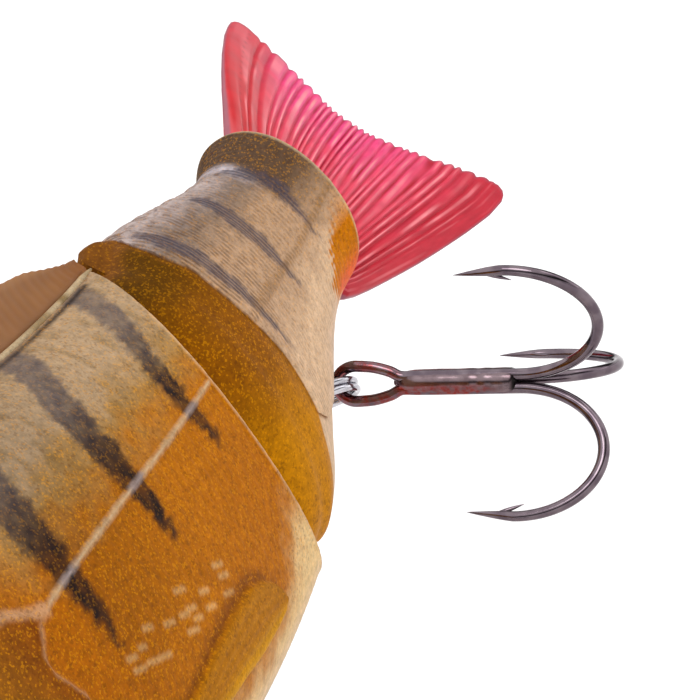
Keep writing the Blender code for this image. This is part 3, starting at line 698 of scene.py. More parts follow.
def front_paint(x, angle, places):
    """Colour and flake strength of the front section."""
    fine = noise(places, 0.9, 2)
    tone = angle + 0.1 * noise(places, 2.6, 1) + 0.05 * fine
    to_edge = edge_x(angle) - x
    coat = Coat(x.shape, 188, 108, 0)
    coat.add(168, 88, 0, 0.65 * step(72, 48, x) * step(2.3, 1.9, angle))
    strokes = noise(places, 1.6, 3, (1.6, 0.4, 0.4))
    coat.add(116, 50, 0, gill_cover(x, angle) * (0.6 + 0.35 * strokes))
    coat.add(186, 104, 0, 0.55 * bump(angle, 1.9, 0.45) * step(70, 95, x))
    tan = step(1.38, 1, tone) * step(45, 60, x)
    coat.add(176, 132, 70, tan)
    pale = step(1.14, 0.78, tone) * step(50, 66, x)
    coat.add(190, 162, 130, 0.85 * pale)
    clouds = step(-0.1, 0.75, noise(places, 1.7, 4, (1.3, 0.8, 0.8)))
    coat.add(132, 104, 62, 0.4 * clouds * np.maximum(pale, tan))
    coat.add(160, 128, 100, 0.7 * step(0.34, 0.12, angle + 0.03 * fine))
    coat.add(136, 84, 44, 0.9 * step(0.2, 0.13, angle) * step(72, 76, x))
    belly_edge = curve(FRONT_BELLY, x)
    coat.add(246, 208, 148, step(belly_edge - 0.22, belly_edge + 0.3, tone))
    coat.add(238, 206, 172, step(2.45, 2.85, angle))
    head = step(52, 40, x)
    coat.add(150, 98, 26, 0.6 * head * step(2.2, 1.6, angle))
    coat.add(96, 70, 34, head * step(1.15, 0.75, tone))
    coat.add(228, 176, 112, 0.78 * fleck_mask(x, angle))
    # Painted shade: the flank behind the gill cover is darkened, fading out towards the tail and the belly.
    shade = step(97, 72, x + 6 * angle) * step(54, 60, x) * step(2.2, 1.6, angle)
    coat.colour *= (1 - 0.24 * shade)[..., None]

    bars = bar_mask(x, angle, places, FRONT_BARS, 0.75)
    bar_coat = Coat(x.shape, 84, 78, 86)
    bar_coat.add(38, 25, 21, step(0.55, 1.3, angle))
    strength = (0.74 + 0.24 * step(0.5, 1.25, angle)) * (0.9 + 0.2 * fine)
    coat.colour = mix(coat.colour, bar_coat.colour, np.clip(bars * strength, 0, 1))

    side_line = step(0.42, 0.14, np.abs(angle - LATERAL_ANGLE) * FLANK_GIRTH + 0.1 * fine)
    side_line = side_line * step(53, 54.5, x) * step(0.3, 0.9, to_edge)
    line_coat = Coat(x.shape, 218, 190, 150)
    line_coat.add(180, 164, 160, bars)
    coat.colour = mix(coat.colour, line_coat.colour, side_line * (0.74 + 0.2 * fine))
    rim = 0.42 * step(0.42, 0.1, gill_line(GILL_EDGE, x, angle) + 0.1 * fine)
    upper = 0.72 * step(0.62, 0.15, gill_line(GILL_UPPER[::-1], x, angle) + 0.1 * fine)
    coat.add(212, 164, 122, np.maximum(rim, upper))
    coat.add(70, 46, 20, 0.5 * step(0.8, 0.2, gill_line(GILL_FRONT, x, angle)))

    fin, across, along = pectoral_shape(x, angle)
    fin_coat = Coat(x.shape, 184, 116, 2)
    fin_coat.add(222, 156, 2, step(0.15, 0.95, across))
    fin_coat.add(150, 84, 2, 0.22 * (0.5 + 0.5 * np.cos(across * 14)) * step(0.5, -0.2, across))
    # Painted shadow along the upper edge of the pectoral fin, on the flank just outside it.
    fin_edge_shadow = bump(across, -1.15, 0.55) * step(-0.02, 0.05, along) * step(1.02, 0.85, along)
    coat.add(104, 50, 8, 0.62 * fin_edge_shadow * (1 - fin))
    coat.colour = mix(coat.colour, fin_coat.colour, fin)

    black = bump(angle, 0.265 + 0.02 * noise(places, 6, 9), 0.06)
    dashes = step(-0.25, 0.15, noise(places, 5.5, 8, (1, 0.2, 0.2)))
    coat.add(40, 30, 30, 0.85 * black * dashes * step(110, 107, x) * step(74, 77, x))
    coat.add(226, 184, 138, 0.85 * step(0.42, 0.2, to_edge) * step(0.5, 0.9, angle))
    flake = 0.85 - 0.6 * step(2.2, 2.6, angle) - 0.2 * pale
    return coat.colour, np.clip(flake * (1 - 0.6 * bars) * (1 - 0.7 * side_line), 0, 1)


def section_at(x, gap):
    """Half outline at one x, smaller by gap: a function from angle to y and z."""
    top, bottom, half_width = outline(np.array(x))
    return lambda angle: oval(angle, top - gap[0], bottom + gap[0], half_width - gap[1])


def socket_point(angle, turn):
    """Point of the joint socket, swept round the hinge. turn is 0 at the middle plane."""
    y, z = section_at(JOINT_X, SOCKET_GAP)(angle)
    return np.stack(np.broadcast_arrays(JOINT_X + y * np.cos(turn), y * np.sin(turn), z), -1)


def make_front_shell(side_name, material):
    angle = np.linspace(0, pi, FRONT_COLUMNS)
    head, middle, rear = np.linspace(4, 8, 14), np.linspace(8, 45, 92), np.linspace(45, FRONT_EDGE_X, 216)
    places = np.concatenate((head, middle[1:], rear[1:]))[:, None]
    x = places - EDGE_SAG * step(78, FRONT_EDGE_X, places) * np.abs(np.sin(angle))
    a = np.broadcast_to(angle, x.shape)
    skin = body_point(x, a)
    skin = skin + surface_normals(skin) * (front_relief(x, a, skin) * step(4.5, 9, x))[..., None]
    skin, sunk = recess(skin, *FRONT_RECESS)
    colour, flake = front_paint(x, a, skin)
    colour = mix(colour, srgb(214, 176, 140), 0.6 * sunk)

    nose = skin[:1] * np.array((1, 0, 0.5)) - np.array((0.5, SEAM, 0))
    edge = skin[-1]
    spread = (JOINT_X - edge[:, 0]) / np.maximum(-socket_point(angle, pi / 2)[:, 1], 1e-6)
    start = np.arccos(np.clip(spread, -1, 1))
    socket = [socket_point(angle, start * (1 - part)) for part in (0, 0.06, 0.2, 0.4, 0.6, 0.8, 1)]
    for row in socket:
        row[:, 0] = np.minimum(row[:, 0], edge[:, 0])
    lip = edge * 0.35 + socket[0] * 0.65
    lip[:, 0] += 0.12 * np.sin(angle)
    points = np.concatenate((nose, skin, lip[None], np.array(socket)))
    inside = Coat((len(socket) + 1, FRONT_COLUMNS), 170, 104, 30).colour
    inside[0] = colour[-1]
    colour = np.concatenate((colour[:1], colour, inside))
    flake = np.concatenate((flake[:1], flake, np.full(inside.shape[:2], 0.5)))
    shell = half_shell("front_skin_" + side_name, SIDES[side_name], points, colour, flake, material)
    settle(shell, "front", "front_shell_" + side_name)


# ---- tail section

TAIL_BARS = (
    (
        (
            (0.25, 121.6), (0.48, 121.2), (0.78, 121.8), (1.03, 122.1), (1.24, 122.6), (1.37, 122.9),
            (1.54, 123.8), (1.75, 124.6),
        ),
        ((0.3, 0.5), (0.5, 0.9), (0.85, 1.15), (1.2, 1), (1.45, 0.55), (1.72, 0.05)),
    ),
    (
        ((0.3, 138.2), (0.48, 138), (0.8, 137.5), (1.03, 137.2), (1.19, 137.4), (1.42, 137.5), (1.7, 138.4)),
        ((0.35, 0.5), (0.6, 1), (0.95, 1.25), (1.25, 0.95), (1.5, 0.5), (1.68, 0.05)),
    ),
    (
        (
            (0.2, 148.4), (0.35, 149.2), (0.69, 150.2), (0.94, 150.9), (1.15, 150.8), (1.38, 150.5),
            (1.54, 150.2), (1.8, 150.8),
        ),
        ((0.25, 0.5), (0.5, 0.9), (0.9, 1.1), (1.2, 0.85), (1.45, 0.45), (1.72, 0.05)),
    ),
)
TAIL_BAR_WIDEN = (1.6, 1.6, 1.3)
# Side line: x and angle.
TAIL_LINE = ((120, 1.36), (126, 1.41), (135, 1.46), (145, 1.52), (153, 1.5), (158, 1.44))
# Upper limit of the pale belly on the joint surface: x and angle.
DOME_BELLY = (
    (114, 3.3), (117, 3.1), (118.6, 2.62), (119.6, 2.36), (120.5, 2.14), (121.5, 2.04), (124, 2.02),
)
# Low ridge that carries on from the rear dorsal fin: x and height above the smooth part.
HUMP = ((114, 1.9), (114.5, 2.4), (116, 2.6), (118, 1.7), (121, 0.4), (123, 0))


def tail_rows(x, places, phase):
    """Wavy scale rows round the tail, from 0 to 1."""
    wander = 0.5 * noise(places, 4, 11)
    return 0.5 + 0.5 * np.sin((x + wander) * 2 * pi / TAIL_ROW + phase)


def tail_line(x, angle):
    """Distance in mm to the side line."""
    return np.abs(angle - curve(TAIL_LINE, x)) * TAIL_GIRTH


def tail_relief(x, angle, places):
    """Fine scale rows that run round the tail, and the side line, in mm."""
    height = (0.05 + 0.08 * step(0.7, 0.2, angle)) * tail_rows(x, places, 0) * step(2.6, 2.2, angle)
    height += 0.24 * step(0.75, 0.15, angle) * noise(places, 1.3, 12) * step(150, 146, x)
    return height + 0.08 * step(0.6, 0.1, tail_line(x, angle))


def tail_paint(x, angle, places):
    """Colour and flake strength of the scaled part of the tail section."""
    lumps = noise(places, 2.6, 21)
    tone = angle + 0.1 * lumps + 0.05 * noise(places, 0.8, 22)
    coat = Coat(x.shape, 198, 160, 126)
    # Greyer, darker upper flank: the back's own colour, deepened by painted shade.
    coat.add(128, 110, 98, 0.95 * step(1.15, 0.55, tone))
    rim_x = x + 0.5 * lumps + 2 * step(0.3, 1.2, angle) - 2.5 * step(1, 1.5, angle)
    rim_olive = step(149.6, 152.6, rim_x) * step(1.7, 0.95, tone)
    coat.add(92, 68, 50, 0.92 * rim_olive)
    # Painted highlight: pale bluish-white at the dip of the back in front of the rim.
    notch_highlight = bump(x, 150 - 1.5 * step(0.2, 1, angle), 2.2) * step(0.95, 0.3, angle)
    coat.add(214, 204, 212, 0.85 * notch_highlight)
    coat.add(236, 198, 160, step(1.45, 1.95, tone))
    coat.add(244, 210, 182, step(2.05, 2.6, tone))
    # Painted highlight along the top of the tail, in front of the rim.
    coat.add(206, 188, 184, 0.8 * step(0.75, 0.15, tone) * step(151, 146, x))
    rows = tail_rows(x, places, 1.2)
    broken = step(-0.5, 0.3, noise(places, 1, 23, (0.5, 1.3, 1.3)))
    near_front = (0.45 + 0.55 * step(136, 122, x)) * step(154, 148, x)
    coat.add(104, 72, 46, 0.8 * rows**2 * broken * np.maximum(step(1.9, 1.2, angle), 0.35) * near_front)
    coat.add(92, 66, 60, 0.6 * step(0.45, 0.8, noise(places, 0.7, 27)) * step(0.5, 0.2, angle))

    bars = bar_mask(x, angle, places, TAIL_BARS, 0.55, TAIL_BAR_WIDEN)
    coat.add(76, 70, 82, 0.96 * bars * (0.72 + 0.28 * np.sin(x * 9 + 2.5 * lumps)))
    dots = step(-0.1, 0.5, np.sin(x * 2 * pi / 0.9))
    side_line = step(0.55, 0.15, tail_line(x, angle)) * step(121, 123, x)
    coat.add(138, 98, 54, (0.28 + 0.3 * dots) * side_line)

    feather = noise(places, 0.8, 25, (0.35, 1.8, 1.8)) + 1.3 * (rows - 0.5)
    reach = x - RIM_X + 9 * bump(angle, 2.25, 0.95)
    orange = step(-0.9, 0.9, reach + 1.3 * feather) * bump(angle, 2.15, 0.75)
    coat.add(212, 122, 2, np.clip(1.6 * orange, 0, 1))
    hot = step(-1, 1.5, reach - 1.2 + 0.6 * feather) * bump(angle, 2.62, 0.55)
    coat.add(246, 104, 48, np.clip(1.5 * hot, 0, 1))
    coat.add(224, 196, 160, 0.8 * step(0.35, 0.1, RIM_X - x) * (1 - hot))
    flake = (0.55 - 0.3 * step(1.7, 2.4, angle) + 0.1 * rim_olive) * (1 - 0.6 * bars)
    return coat.colour, np.clip(flake + orange * 0.4, 0, 1)


def dome_paint(angle, places, edge):
    """Colour and flake strength of the smooth joint surface, between the two scaled skins."""
    tone = angle + 0.08 * noise(places, 3, 31)
    coat = Coat(angle.shape, 146, 84, 0)
    coat.add(98, 60, 0, step(1.3, 0.6, tone))
    coat.add(128, 76, 22, step(0.36, 0.16, tone))
    coat.add(204, 132, 0, step(1.45, 2.05, tone))
    belly_edge = curve(DOME_BELLY, places[..., 0])
    peach = step(belly_edge - 0.03, belly_edge + 0.05, angle)
    coat.add(232, 196, 160, peach)
    # Painted shadow in a narrow band along the step up to the scaled skin, deepest on the lower flank.
    step_shadow = step(0.9, 0, edge - places[..., 0])
    coat.add(150, 92, 30, 0.5 * step_shadow * step(2.2, 2, angle))
    coat.add(150, 88, 26, 0.75 * step_shadow * step(2, 2.15, angle) * step(2.75, 2.6, angle))
    return coat.colour, (0.95 - 0.8 * peach) * (1 - 0.45 * step(1.5, 0.7, tone))


def make_tail_shell(side_name, material):
    angle = np.linspace(0, pi, TAIL_COLUMNS)
    base_y, base_z = section_at(JOINT_X, DOME_GAP)(angle)
    in_level = np.any([np.abs(base_z - height) < SLOT_HALF for height in HINGE_HEIGHTS], axis=0)
    rows = []
    for turn in np.linspace(0, pi / 2, 40):
        in_slot = in_level & (turn < SLOT_OPEN)
        radius = np.where(in_slot, np.minimum(SLOT_RADIUS, -base_y), -base_y)
        rows.append(np.stack((JOINT_X - radius * cos(turn), -radius * sin(turn), base_z), -1))
    edge = curve(SKIN_EDGE, angle)
    for part in (0.004, 0.03, *np.linspace(0.06, 1, 33)):
        x = JOINT_X + (edge - JOINT_X) * part
        near = step(0, 5 - 2 * step(2.2, 2.6, angle), x - JOINT_X)
        gap_height = DOME_GAP[0] + (0.38 - DOME_GAP[0]) * near
        gap_side = DOME_GAP[1] + (0.3 - DOME_GAP[1]) * near
        row = body_point(x, angle, gap_height, gap_side)
        row[:, 2] += curve(HUMP, x) * step(2.3, 0.4, -row[:, 1])
        rows.append(row)
    smooth = np.array(rows)

    start = edge + 0.12
    x = start + (RIM_X - start) * np.linspace(0, 1, 170)[:, None]
    a = np.broadcast_to(angle, x.shape)
    skin = body_point(x, a)
    height = tail_relief(x, a, skin) - 0.12 * step(0.5, 0, x - edge)
    skin = skin + surface_normals(skin) * height[..., None]

    inner = []
    for here, extra in ((RIM_X + 0.12, -0.65), (RIM_X, 0), (RIM_X - 0.6, 0.02), (PAD_X, 0.05)):
        wall = RIM_WALL + extra
        inner.append(body_point(np.full(TAIL_COLUMNS, min(here, RIM_X)), angle, wall, wall))
        inner[-1][:, 0] = here
    centre = inner[-1].copy()
    centre[:, 1] = -SEAM
    inner += [0.5 * (inner[-1] + centre), centre]
    points, sunk = recess(np.concatenate((smooth, skin, np.array(inner))), *TAIL_RECESS)

    dome_colour, dome_flake = dome_paint(np.broadcast_to(angle, smooth.shape[:2]), smooth, edge)
    skin_colour, skin_flake = tail_paint(x, a, skin)
    inside = Coat((len(inner), TAIL_COLUMNS), 220, 150, 110).colour
    inside[0] = skin_colour[-1]
    colour = np.concatenate((dome_colour, skin_colour, inside))
    colour = mix(colour, srgb(222, 186, 150), 0.6 * sunk)
    flake = np.concatenate((dome_flake, skin_flake, np.full(inside.shape[:2], 0.2)))
    shell = half_shell("tail_skin_" + side_name, SIDES[side_name], points, colour, flake, material)
    settle(shell, "tail", "tail_shell_" + side_name)


# ---- tail fin

FIN_ROOT_X = 157.9
FIN_TIP_X = 198
# Edges of the tail fin in its own plane: x and height, then share across and x.
FIN_TOP_EDGE = (
    (157.9, 12.4), (160.3, 13.9), (165.3, 15.8), (171.4, 17.9), (176.2, 19.2), (181.9, 20.5), (189.3, 21.8),
    (193.5, 22.2), (198.2, 22.3),
)
FIN_BOTTOM_EDGE = (
    (157.9, -8.4), (158.6, -10.3), (159.6, -11.9), (162, -13), (165.2, -14.1), (176.1, -17.5),
    (180.9, -18.9), (187.5, -20.8), (193.1, -22.3), (198.2, -23),
)
FIN_TRAILING = (
    (-1, 196.4), (-0.985, 197.4), (-0.96, 198.1), (-0.92, 198.5), (-0.85, 198.2), (-0.78, 197.5),
    (-0.64, 196.4), (-0.44, 194.4), (-0.26, 192.9), (-0.07, 191.5), (0.16, 191.3), (0.4, 192.8),
    (0.66, 194.6), (0.84, 196.4), (0.92, 197), (0.96, 197), (0.985, 196.4), (1, 195.4),
)
FIN_TWIST = radians(25)
FIN_RAYS = 36
FIN_ROWS, FIN_COLUMNS = 96, 361


def fin_middle(along, across):
    """x, height in the fin's own plane, and twist, at a share along and across the tail fin."""
    end = curve(FIN_TRAILING, across)
    x = FIN_ROOT_X + along * (end - FIN_ROOT_X)
    top = curve(FIN_TOP_EDGE, x)
    bottom = curve(FIN_BOTTOM_EDGE, x)
    height = 0.5 * (top + bottom) + across * 0.5 * (top - bottom)
    share = np.clip((x - FIN_ROOT_X) / (FIN_TIP_X - FIN_ROOT_X), 0, 1)
    return x, height, FIN_TWIST * share


def ray_phase(along, across):
    """Number of the ray at a place. The rays bunch at the root and fork a little towards the edge."""
    wander = 0.8 * np.sin(across * 5) * along + 0.22 * np.sin(across * 23 + 2 * along)
    wander += 0.08 * np.sin(across * 57)
    return (across - 0.26 * np.clip(across, 0, 1) ** 3) * 0.5 * FIN_RAYS + wander


def fin_paint(along, across, phase, ridge, strength, lead):
    """Pink with paler rays, red grooves and red leading edges."""
    streak = noise(np.stack((along * 9, phase, along * 0), -1), 1, 41)
    fine = noise(np.stack((along * 25, phase * 3, along * 0), -1), 1, 42)
    coat = Coat(along.shape, 230, 74, 100)
    coat.add(214, 58, 70, step(0.6, 0.1, along))
    coat.add(240, 72, 140, 0.85 * step(0.5, 0.95, along + 0.12 * streak) * step(-0.75, 0, across))
    coat.add(188, 28, 46, 0.9 * step(-0.4, -0.9, across))
    coat.add(200, 46, 50, 0.9 * step(0.45, 0.8, across))
    groove = step(0.55, 0, ridge) * (1 - lead) * (0.35 + 0.65 * step(0.9, -0.1, across))
    coat.add(176, 8, 34, np.clip(0.85 * groove * (0.8 + 0.5 * streak), 0, 1))
    pale = step(0.7, 1, ridge) * (1 - 0.6 * lead) * strength * (0.55 + 0.9 * streak)
    coat.add(250, 146, 152, np.clip((0.62 - 0.22 * step(0.3, 0.6, across)) * pale, 0, 1))
    coat.colour *= 1 + 0.1 * fine[..., None]
    coat.add(150, 40, 50, 0.5 * step(0.2, 0.8, np.sin(along * 120)) * bump(across, 0.86, 0.02))
    border = np.maximum(step(0.985, 1, along), step(0.985, 1, np.abs(across)))
    coat.add(150, 96, 112, 0.75 * border)
    return coat.colour


def make_tail_fin(material):
    along = np.broadcast_to(np.linspace(0, 1, FIN_ROWS)[:, None], (FIN_ROWS, FIN_COLUMNS))
    across = np.broadcast_to(np.linspace(1, -1, FIN_COLUMNS), along.shape)
    phase = ray_phase(along, across)
    ridge = 0.5 + 0.5 * np.cos(phase * 2 * pi)
    strength = 0.65 + 0.7 * hashed(np.round(phase).astype(np.int64), np.int64(1), np.int64(2), 43)
    lead = step(0.8, 0.92, np.abs(across))
    x, height, turn = fin_middle(along, across)
    x = x + (0.42 * ridge**0.5 - 0.28) * (1 - lead) * step(0.75, 1, along) * along
    edge = np.sqrt(np.clip(1 - np.abs(across) ** 10, 0.02, 1))
    half = (1.65 - 1.25 * np.clip(along * 1.25, 0, 1)) * edge
    relief = 0.3 * (ridge**0.7 * strength - 0.5) * (1 - 0.85 * lead) * step(0, 0.12, along)
    relief = relief * (1 - 0.35 * step(0.9, 1, along)) + 0.12 * lead
    ripple = 0.35 * np.sin(across * 4 + 1) * along**2
    sheets = []
    for side in (LEFT, RIGHT):
        thick = side * np.clip(half + relief, 0.1, None) + ripple
        y = height * np.sin(turn) + thick * np.cos(turn)
        z = height * np.cos(turn) - thick * np.sin(turn)
        sheets.append(np.stack((x, y, z), -1))
    colour = fin_paint(along, across, phase, ridge, strength, lead)
    fin = make_sheet("tail_fin_soft_blade", sheets, colour, material, 70)
    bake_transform(fin)
    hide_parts("tail_fin_blade")


# ---- dorsal fins

FRONT_DORSAL = {
    "crest": ((36, 0.8), (38.5, 7.5), (43, 11), (49, 11.6), (56, 9.8), (63, 6.4), (69, 2.6), (71, 0.8)),
    "root": 2.2,
    "half": 1.1,
    "spines": 13,
    "ribs": 0.16,
    "colour": ((120, 84, 48), (70, 46, 28)),
}
REAR_DORSAL = {
    "crest": (
        (76, 0.8), (77.5, 6.2), (81, 8.4), (86, 8.2), (92, 7.1), (98, 5.6), (103, 4.7), (107, 3.3),
        (111, 2), (113.45, 1.5),
    ),
    "root": 1,
    "half": 1.5,
    "spines": 22,
    "ribs": 0.05,
    "colour": ((148, 100, 58), (118, 70, 32)),
}
DORSAL_ROWS, DORSAL_LEVELS = 220, 26


def make_dorsal(node, fin, material):
    """A soft fin with rays that lean back, thick at its foot and thin at its crest."""
    crest = np.array(fin["crest"], float)
    x = np.linspace(crest[0, 0], crest[-1, 0], DORSAL_ROWS)
    fine_crest = smooth_path(np.column_stack((crest, np.zeros(len(crest)))), 400)
    height = np.interp(x, fine_crest[:, 0], fine_crest[:, 1])
    back = outline(x)[0]
    level = np.broadcast_to((0, *np.linspace(0, 1, DORSAL_LEVELS)), (DORSAL_ROWS, DORSAL_LEVELS + 1))
    wide = np.broadcast_to(x[:, None], level.shape)
    lean = 3 * level * (height / height.max())[:, None]
    ray = (wide - lean - x[0]) / (x[-1] - x[0]) * fin["spines"]
    ridge = 0.5 + 0.5 * np.cos(ray * 2 * pi)
    z = back[:, None] + height[:, None] * level
    z[:, 0] = back - fin["root"]
    z = z + 1.5 * fin["ribs"] * (ridge - 0.5) * step(0.9, 1, level) * step(0, 2, height)[:, None]
    half = fin["half"] * (1 - 0.78 * step(0, 0.85, level) ** 0.8)
    half = half * (1 - 0.55 * step(-6.5, -0.5, wide - x[-1]))
    half = np.clip(half + fin["ribs"] * (ridge - 0.4) * step(0.05, 0.25, level), 0.15, fin["half"])
    sheets = [np.stack((wide, side * half, z), -1) for side in (LEFT, RIGHT)]
    tone = noise(np.stack((ray * 1.2, level * 3, level * 0), -1), 1, 51)
    coat = Coat(wide.shape, *fin["colour"][0])
    grooves = 3.5 * fin["ribs"] * (1 - ridge) * step(0.05, 0.3, level)
    coat.add(*fin["colour"][1], np.clip(grooves + 0.14 * tone + 0.15, 0, 1))
    coat.add(176, 128, 84, 0.45 * step(0.75, 1, level))
    coat.add(136, 82, 34, 0.6 * step(103, 112, wide))
    settle(make_sheet(node + "_soft", sheets, coat.colour, material, 60), "front", node)


def make_fin_bead(side_name, material):
    """The raised pale bead along the foot of the rear dorsal fin."""
    sides = 14
    x = np.linspace(79, 112, 170)
    y, z = oval(np.full(x.shape, 0.165), *outline(x))
    radii = 0.44 * np.minimum(1, np.minimum((x - 78.8) / 2, (112.3 - x) / 3)) ** 0.5
    rings = wire_points(np.stack((x, y * -SIDES[side_name], z + 0.05), -1), radii, sides)
    coat = Coat(rings.shape[:2], 200, 176, 140)
    coat.add(150, 124, 84, step(0, 0.6, noise(rings, 2.4, 61, (1, 0.3, 0.3))))
    coat.add(60, 50, 44, 0.8 * step(0.45, 0.7, noise(rings, 3.4, 62, (1, 0.3, 0.3))))
    values = {"flake": np.full(rings.shape[:2], 0.35)}
    faces = tube_faces(len(x), sides)
    bead = make_object("rear_dorsal_bead_" + side_name, rings, faces, material, coat.colour, values)
    settle(bead, "front")


def make_plug(material):
    """Pad of the soft tail, filling the flared rim."""
    columns = 96
    angle = np.linspace(0, 2 * pi, columns, endpoint=False)
    side = np.where(np.sin(angle) >= 0, LEFT, RIGHT)
    rows = []
    for x, inset in ((155.45, 1.6), (155.5, 1.35), (156.7, 1.32), (156.95, 1.6)):
        y, z = section_at(157, (inset, inset))(angle)
        rows.append(np.stack((np.full(columns, x), side * np.abs(y), z), -1))
    colours = Coat((len(rows) * columns,), 214, 66, 84).colour
    points = np.concatenate(rows)
    pad = make_object("tail_fin_pad", points, tube_faces(len(rows), columns), material, colours)
    settle(pad, "tail", "tail_fin_plug")


# ---- wire, rings and hooks

WIRE_RADIUS = 0.8
LOOP_RADIUS = 2.1
RING_RADIUS = 3.4
HOOK_WIRE = 0.75
HOOK_LENGTH = 33.8
HOOK_GAPE = 17.4
HOOK_SHANK = 23
HOOK_EYE_LENGTH = 8.2
HOOK_EYE_HALF = 2.2
HOOK_SEAT = 2.25
HOOK_SHIFT = 0.2
STRAND_RADIUS = 0.96
REAR_SLIDE = radians(62)
REAR_TREBLE_AIM = Vector((0.056, -0.882, -0.468)).normalized()
LOWER_SIDE = (0.47, -0.41, 0.78)
# Brazed sleeve over the three strands: place along the shank and radius.
BRAZE_SLEEVE = (
    (7.4, 0.4), (8, 1.05), (8.8, 1.42), (10, 1.58), (13, 1.63), (15.5, 1.59), (17, 1.65), (18, 1.58),
    (18.8, 1.66), (19.8, 1.62), (21.2, 1.66), (22.2, 1.62), (22.6, 1.4), (22.8, 0.85), (22.9, 0.3),
)


def joint_place(name):
    return Vector(JOINTS[name]["pos_m"]) / MM


def make_eyelet(node, body, centre, shank_aim, plane_normal, shank, material):
    u = Vector(shank_aim)
    v = Vector(plane_normal).cross(u)
    centre = Vector(centre)
    path = [centre + u * (LOOP_RADIUS + out) for out in (shank, 2.4, 1)]
    path.append(centre + u * (LOOP_RADIUS + 0.1) + v * 0.5)
    for angle in np.radians(np.linspace(42, 330, 15)):
        path.append(centre + (u * cos(angle) + v * sin(angle)) * LOOP_RADIUS)
    settle(wire(node + "_wire", smooth_path(path, 110), WIRE_RADIUS * 0.99, material), body, node)


def make_split_ring(node, body, centre, axis, hang_aim, material):
    """Two turns of flattened wire, side by side, with a step from one to the other."""
    half_step, turns, wire_radius = 0.5, 1.93, 0.485
    v = axis.cross(hang_aim)
    path = []
    for t in np.linspace(0, 1, 300):
        angle = pi * (0.62 + 2 * t * turns)
        side = 2 * step(0.44, 0.56, t) - 1
        out = hang_aim * cos(angle) + v * sin(angle)
        path.append(centre + out * RING_RADIUS + axis * (side * half_step))
    ring = wire(node + "_coil", path, wire_radius, material, 16, first_normal=axis)
    settle(ring, body, node)


def treble_spreads(aim, turn_deg):
    """Directions of the three hooks, across the shank."""
    e = aim.cross(Vector((0, 1, 0))).normalized()
    f = aim.cross(e)
    turns = [radians(turn_deg + 120 * k) for k in range(3)]
    return [e * cos(turn) + f * sin(turn) for turn in turns]


def hook_line(eye, aim, spread):
    """Middle line and radii of one hook, from its strand to its needle point."""
    steps, worn = 60, 22
    wide = HOOK_GAPE - STRAND_RADIUS
    path = [eye + aim * a + spread * STRAND_RADIUS for a in (HOOK_EYE_LENGTH, 10, 12, 15, 18, 20.5)]
    for i in range(steps + 1):
        angle = pi * (i / steps - 0.5)
        along = HOOK_SHANK + (HOOK_LENGTH - HOOK_SHANK) * cos(angle)
        path.append(eye + aim * along + spread * (STRAND_RADIUS + wide * (0.5 + 0.5 * sin(angle))))
    radii = [HOOK_WIRE] * (len(path) - worn)
    radii += [HOOK_WIRE * (1 - 0.16 * (k / worn) ** 1.5) for k in range(worn)]
    for back, thin in ((0.8, 0.8), (1.8, 0.7), (3, 0.52), (4.2, 0.33), (5.1, 0.17), (5.7, 0.04)):
        path.append(eye + aim * (HOOK_SHANK - back) + spread * (HOOK_GAPE - 0.1 * back))
        radii.append(HOOK_WIRE * thin)
    return path, radii


def barb(eye, aim, spread):
    """A small spur cut on the inner side of the point."""
    root = eye + aim * (HOOK_SHANK - 1.6) + spread * (HOOK_GAPE - 0.45)
    tip = eye + aim * (HOOK_SHANK + 1.3) + spread * (HOOK_GAPE - 1.55)
    return [root + (tip - root) * t for t in (0, 0.3, 0.6, 0.85, 1)], [0.3, 0.3, 0.22, 0.11, 0.03]


def make_treble(prefix, eye, aim, spreads, skins):
    def copper(points):
        """Painted reflection of the red tail fin: strong round the eye, then only along the lower side of the
        shank.
        """
        away = points - np.array(eye)
        along = away @ np.array(aim)
        low = step(0.3, -0.7, away @ np.array(LOWER_SIDE))
        close = step(3, 2.5, np.linalg.norm(away - along[:, None] * np.array(aim), axis=1))
        near = np.maximum(0.7 * step(9, 7, along), low * close * step(22, 17, along))
        return near * (prefix == "rear")

    def pit(points):
        """The blackened end of the brazed sleeve."""
        return step(21.9, 22.4, (points - np.array(eye)) @ np.array(aim))

    def finish(part, path, radii, barbs):
        made = wire(prefix + part + "_wire", path, radii, skins["black_nickel"], 18, parts=barbs, marks=marks)
        settle(made, prefix + "_treble", prefix + part)

    across = (spreads[0] - spreads[1]).normalized()
    lean = spreads[2] * (-0.5 * STRAND_RADIUS)
    loop = ((6.8, 0.68), (4.9, 0.92), (3.2, 1), (1.9, 0.99), (0.75, 0.74), (0.12, 0.36))
    loop = (*loop, (0, 0), *((a, -part) for a, part in reversed(loop)))
    bend = [eye + aim * a + lean + across * HOOK_EYE_HALF * part for a, part in loop]
    hooks = [hook_line(eye, aim, spread) for spread in spreads]
    barbs = [barb(eye, aim, spread) for spread in spreads]
    (first, first_radii), (second, second_radii), (third, third_radii) = hooks
    fine = [*smooth_path([first[1], first[0], *bend, second[0], second[1]], 150)]
    path = first[:1:-1] + fine + second[2:]
    radii = first_radii[:1:-1] + [HOOK_WIRE * 0.97] * len(fine) + second_radii[2:]
    marks = {"copper": copper}
    finish("_treble_double", path, radii, barbs[:2])
    path = [eye + aim * (HOOK_EYE_LENGTH - 0.6) + spreads[2] * STRAND_RADIUS] + third
    radii = [HOOK_WIRE * 0.6] + third_radii
    finish("_treble_third", path, radii, barbs[2:])
    count = 60
    path = smooth_path([eye + aim * a for a, _ in BRAZE_SLEEVE], count)
    radii = curve(BRAZE_SLEEVE, np.linspace(BRAZE_SLEEVE[0][0], BRAZE_SLEEVE[-1][0], count))
    marks["pit"] = pit
    sleeve = wire(prefix + "_treble_braze", path, radii, skins["braze"], 28, marks=marks)
    settle(sleeve, prefix + "_treble")


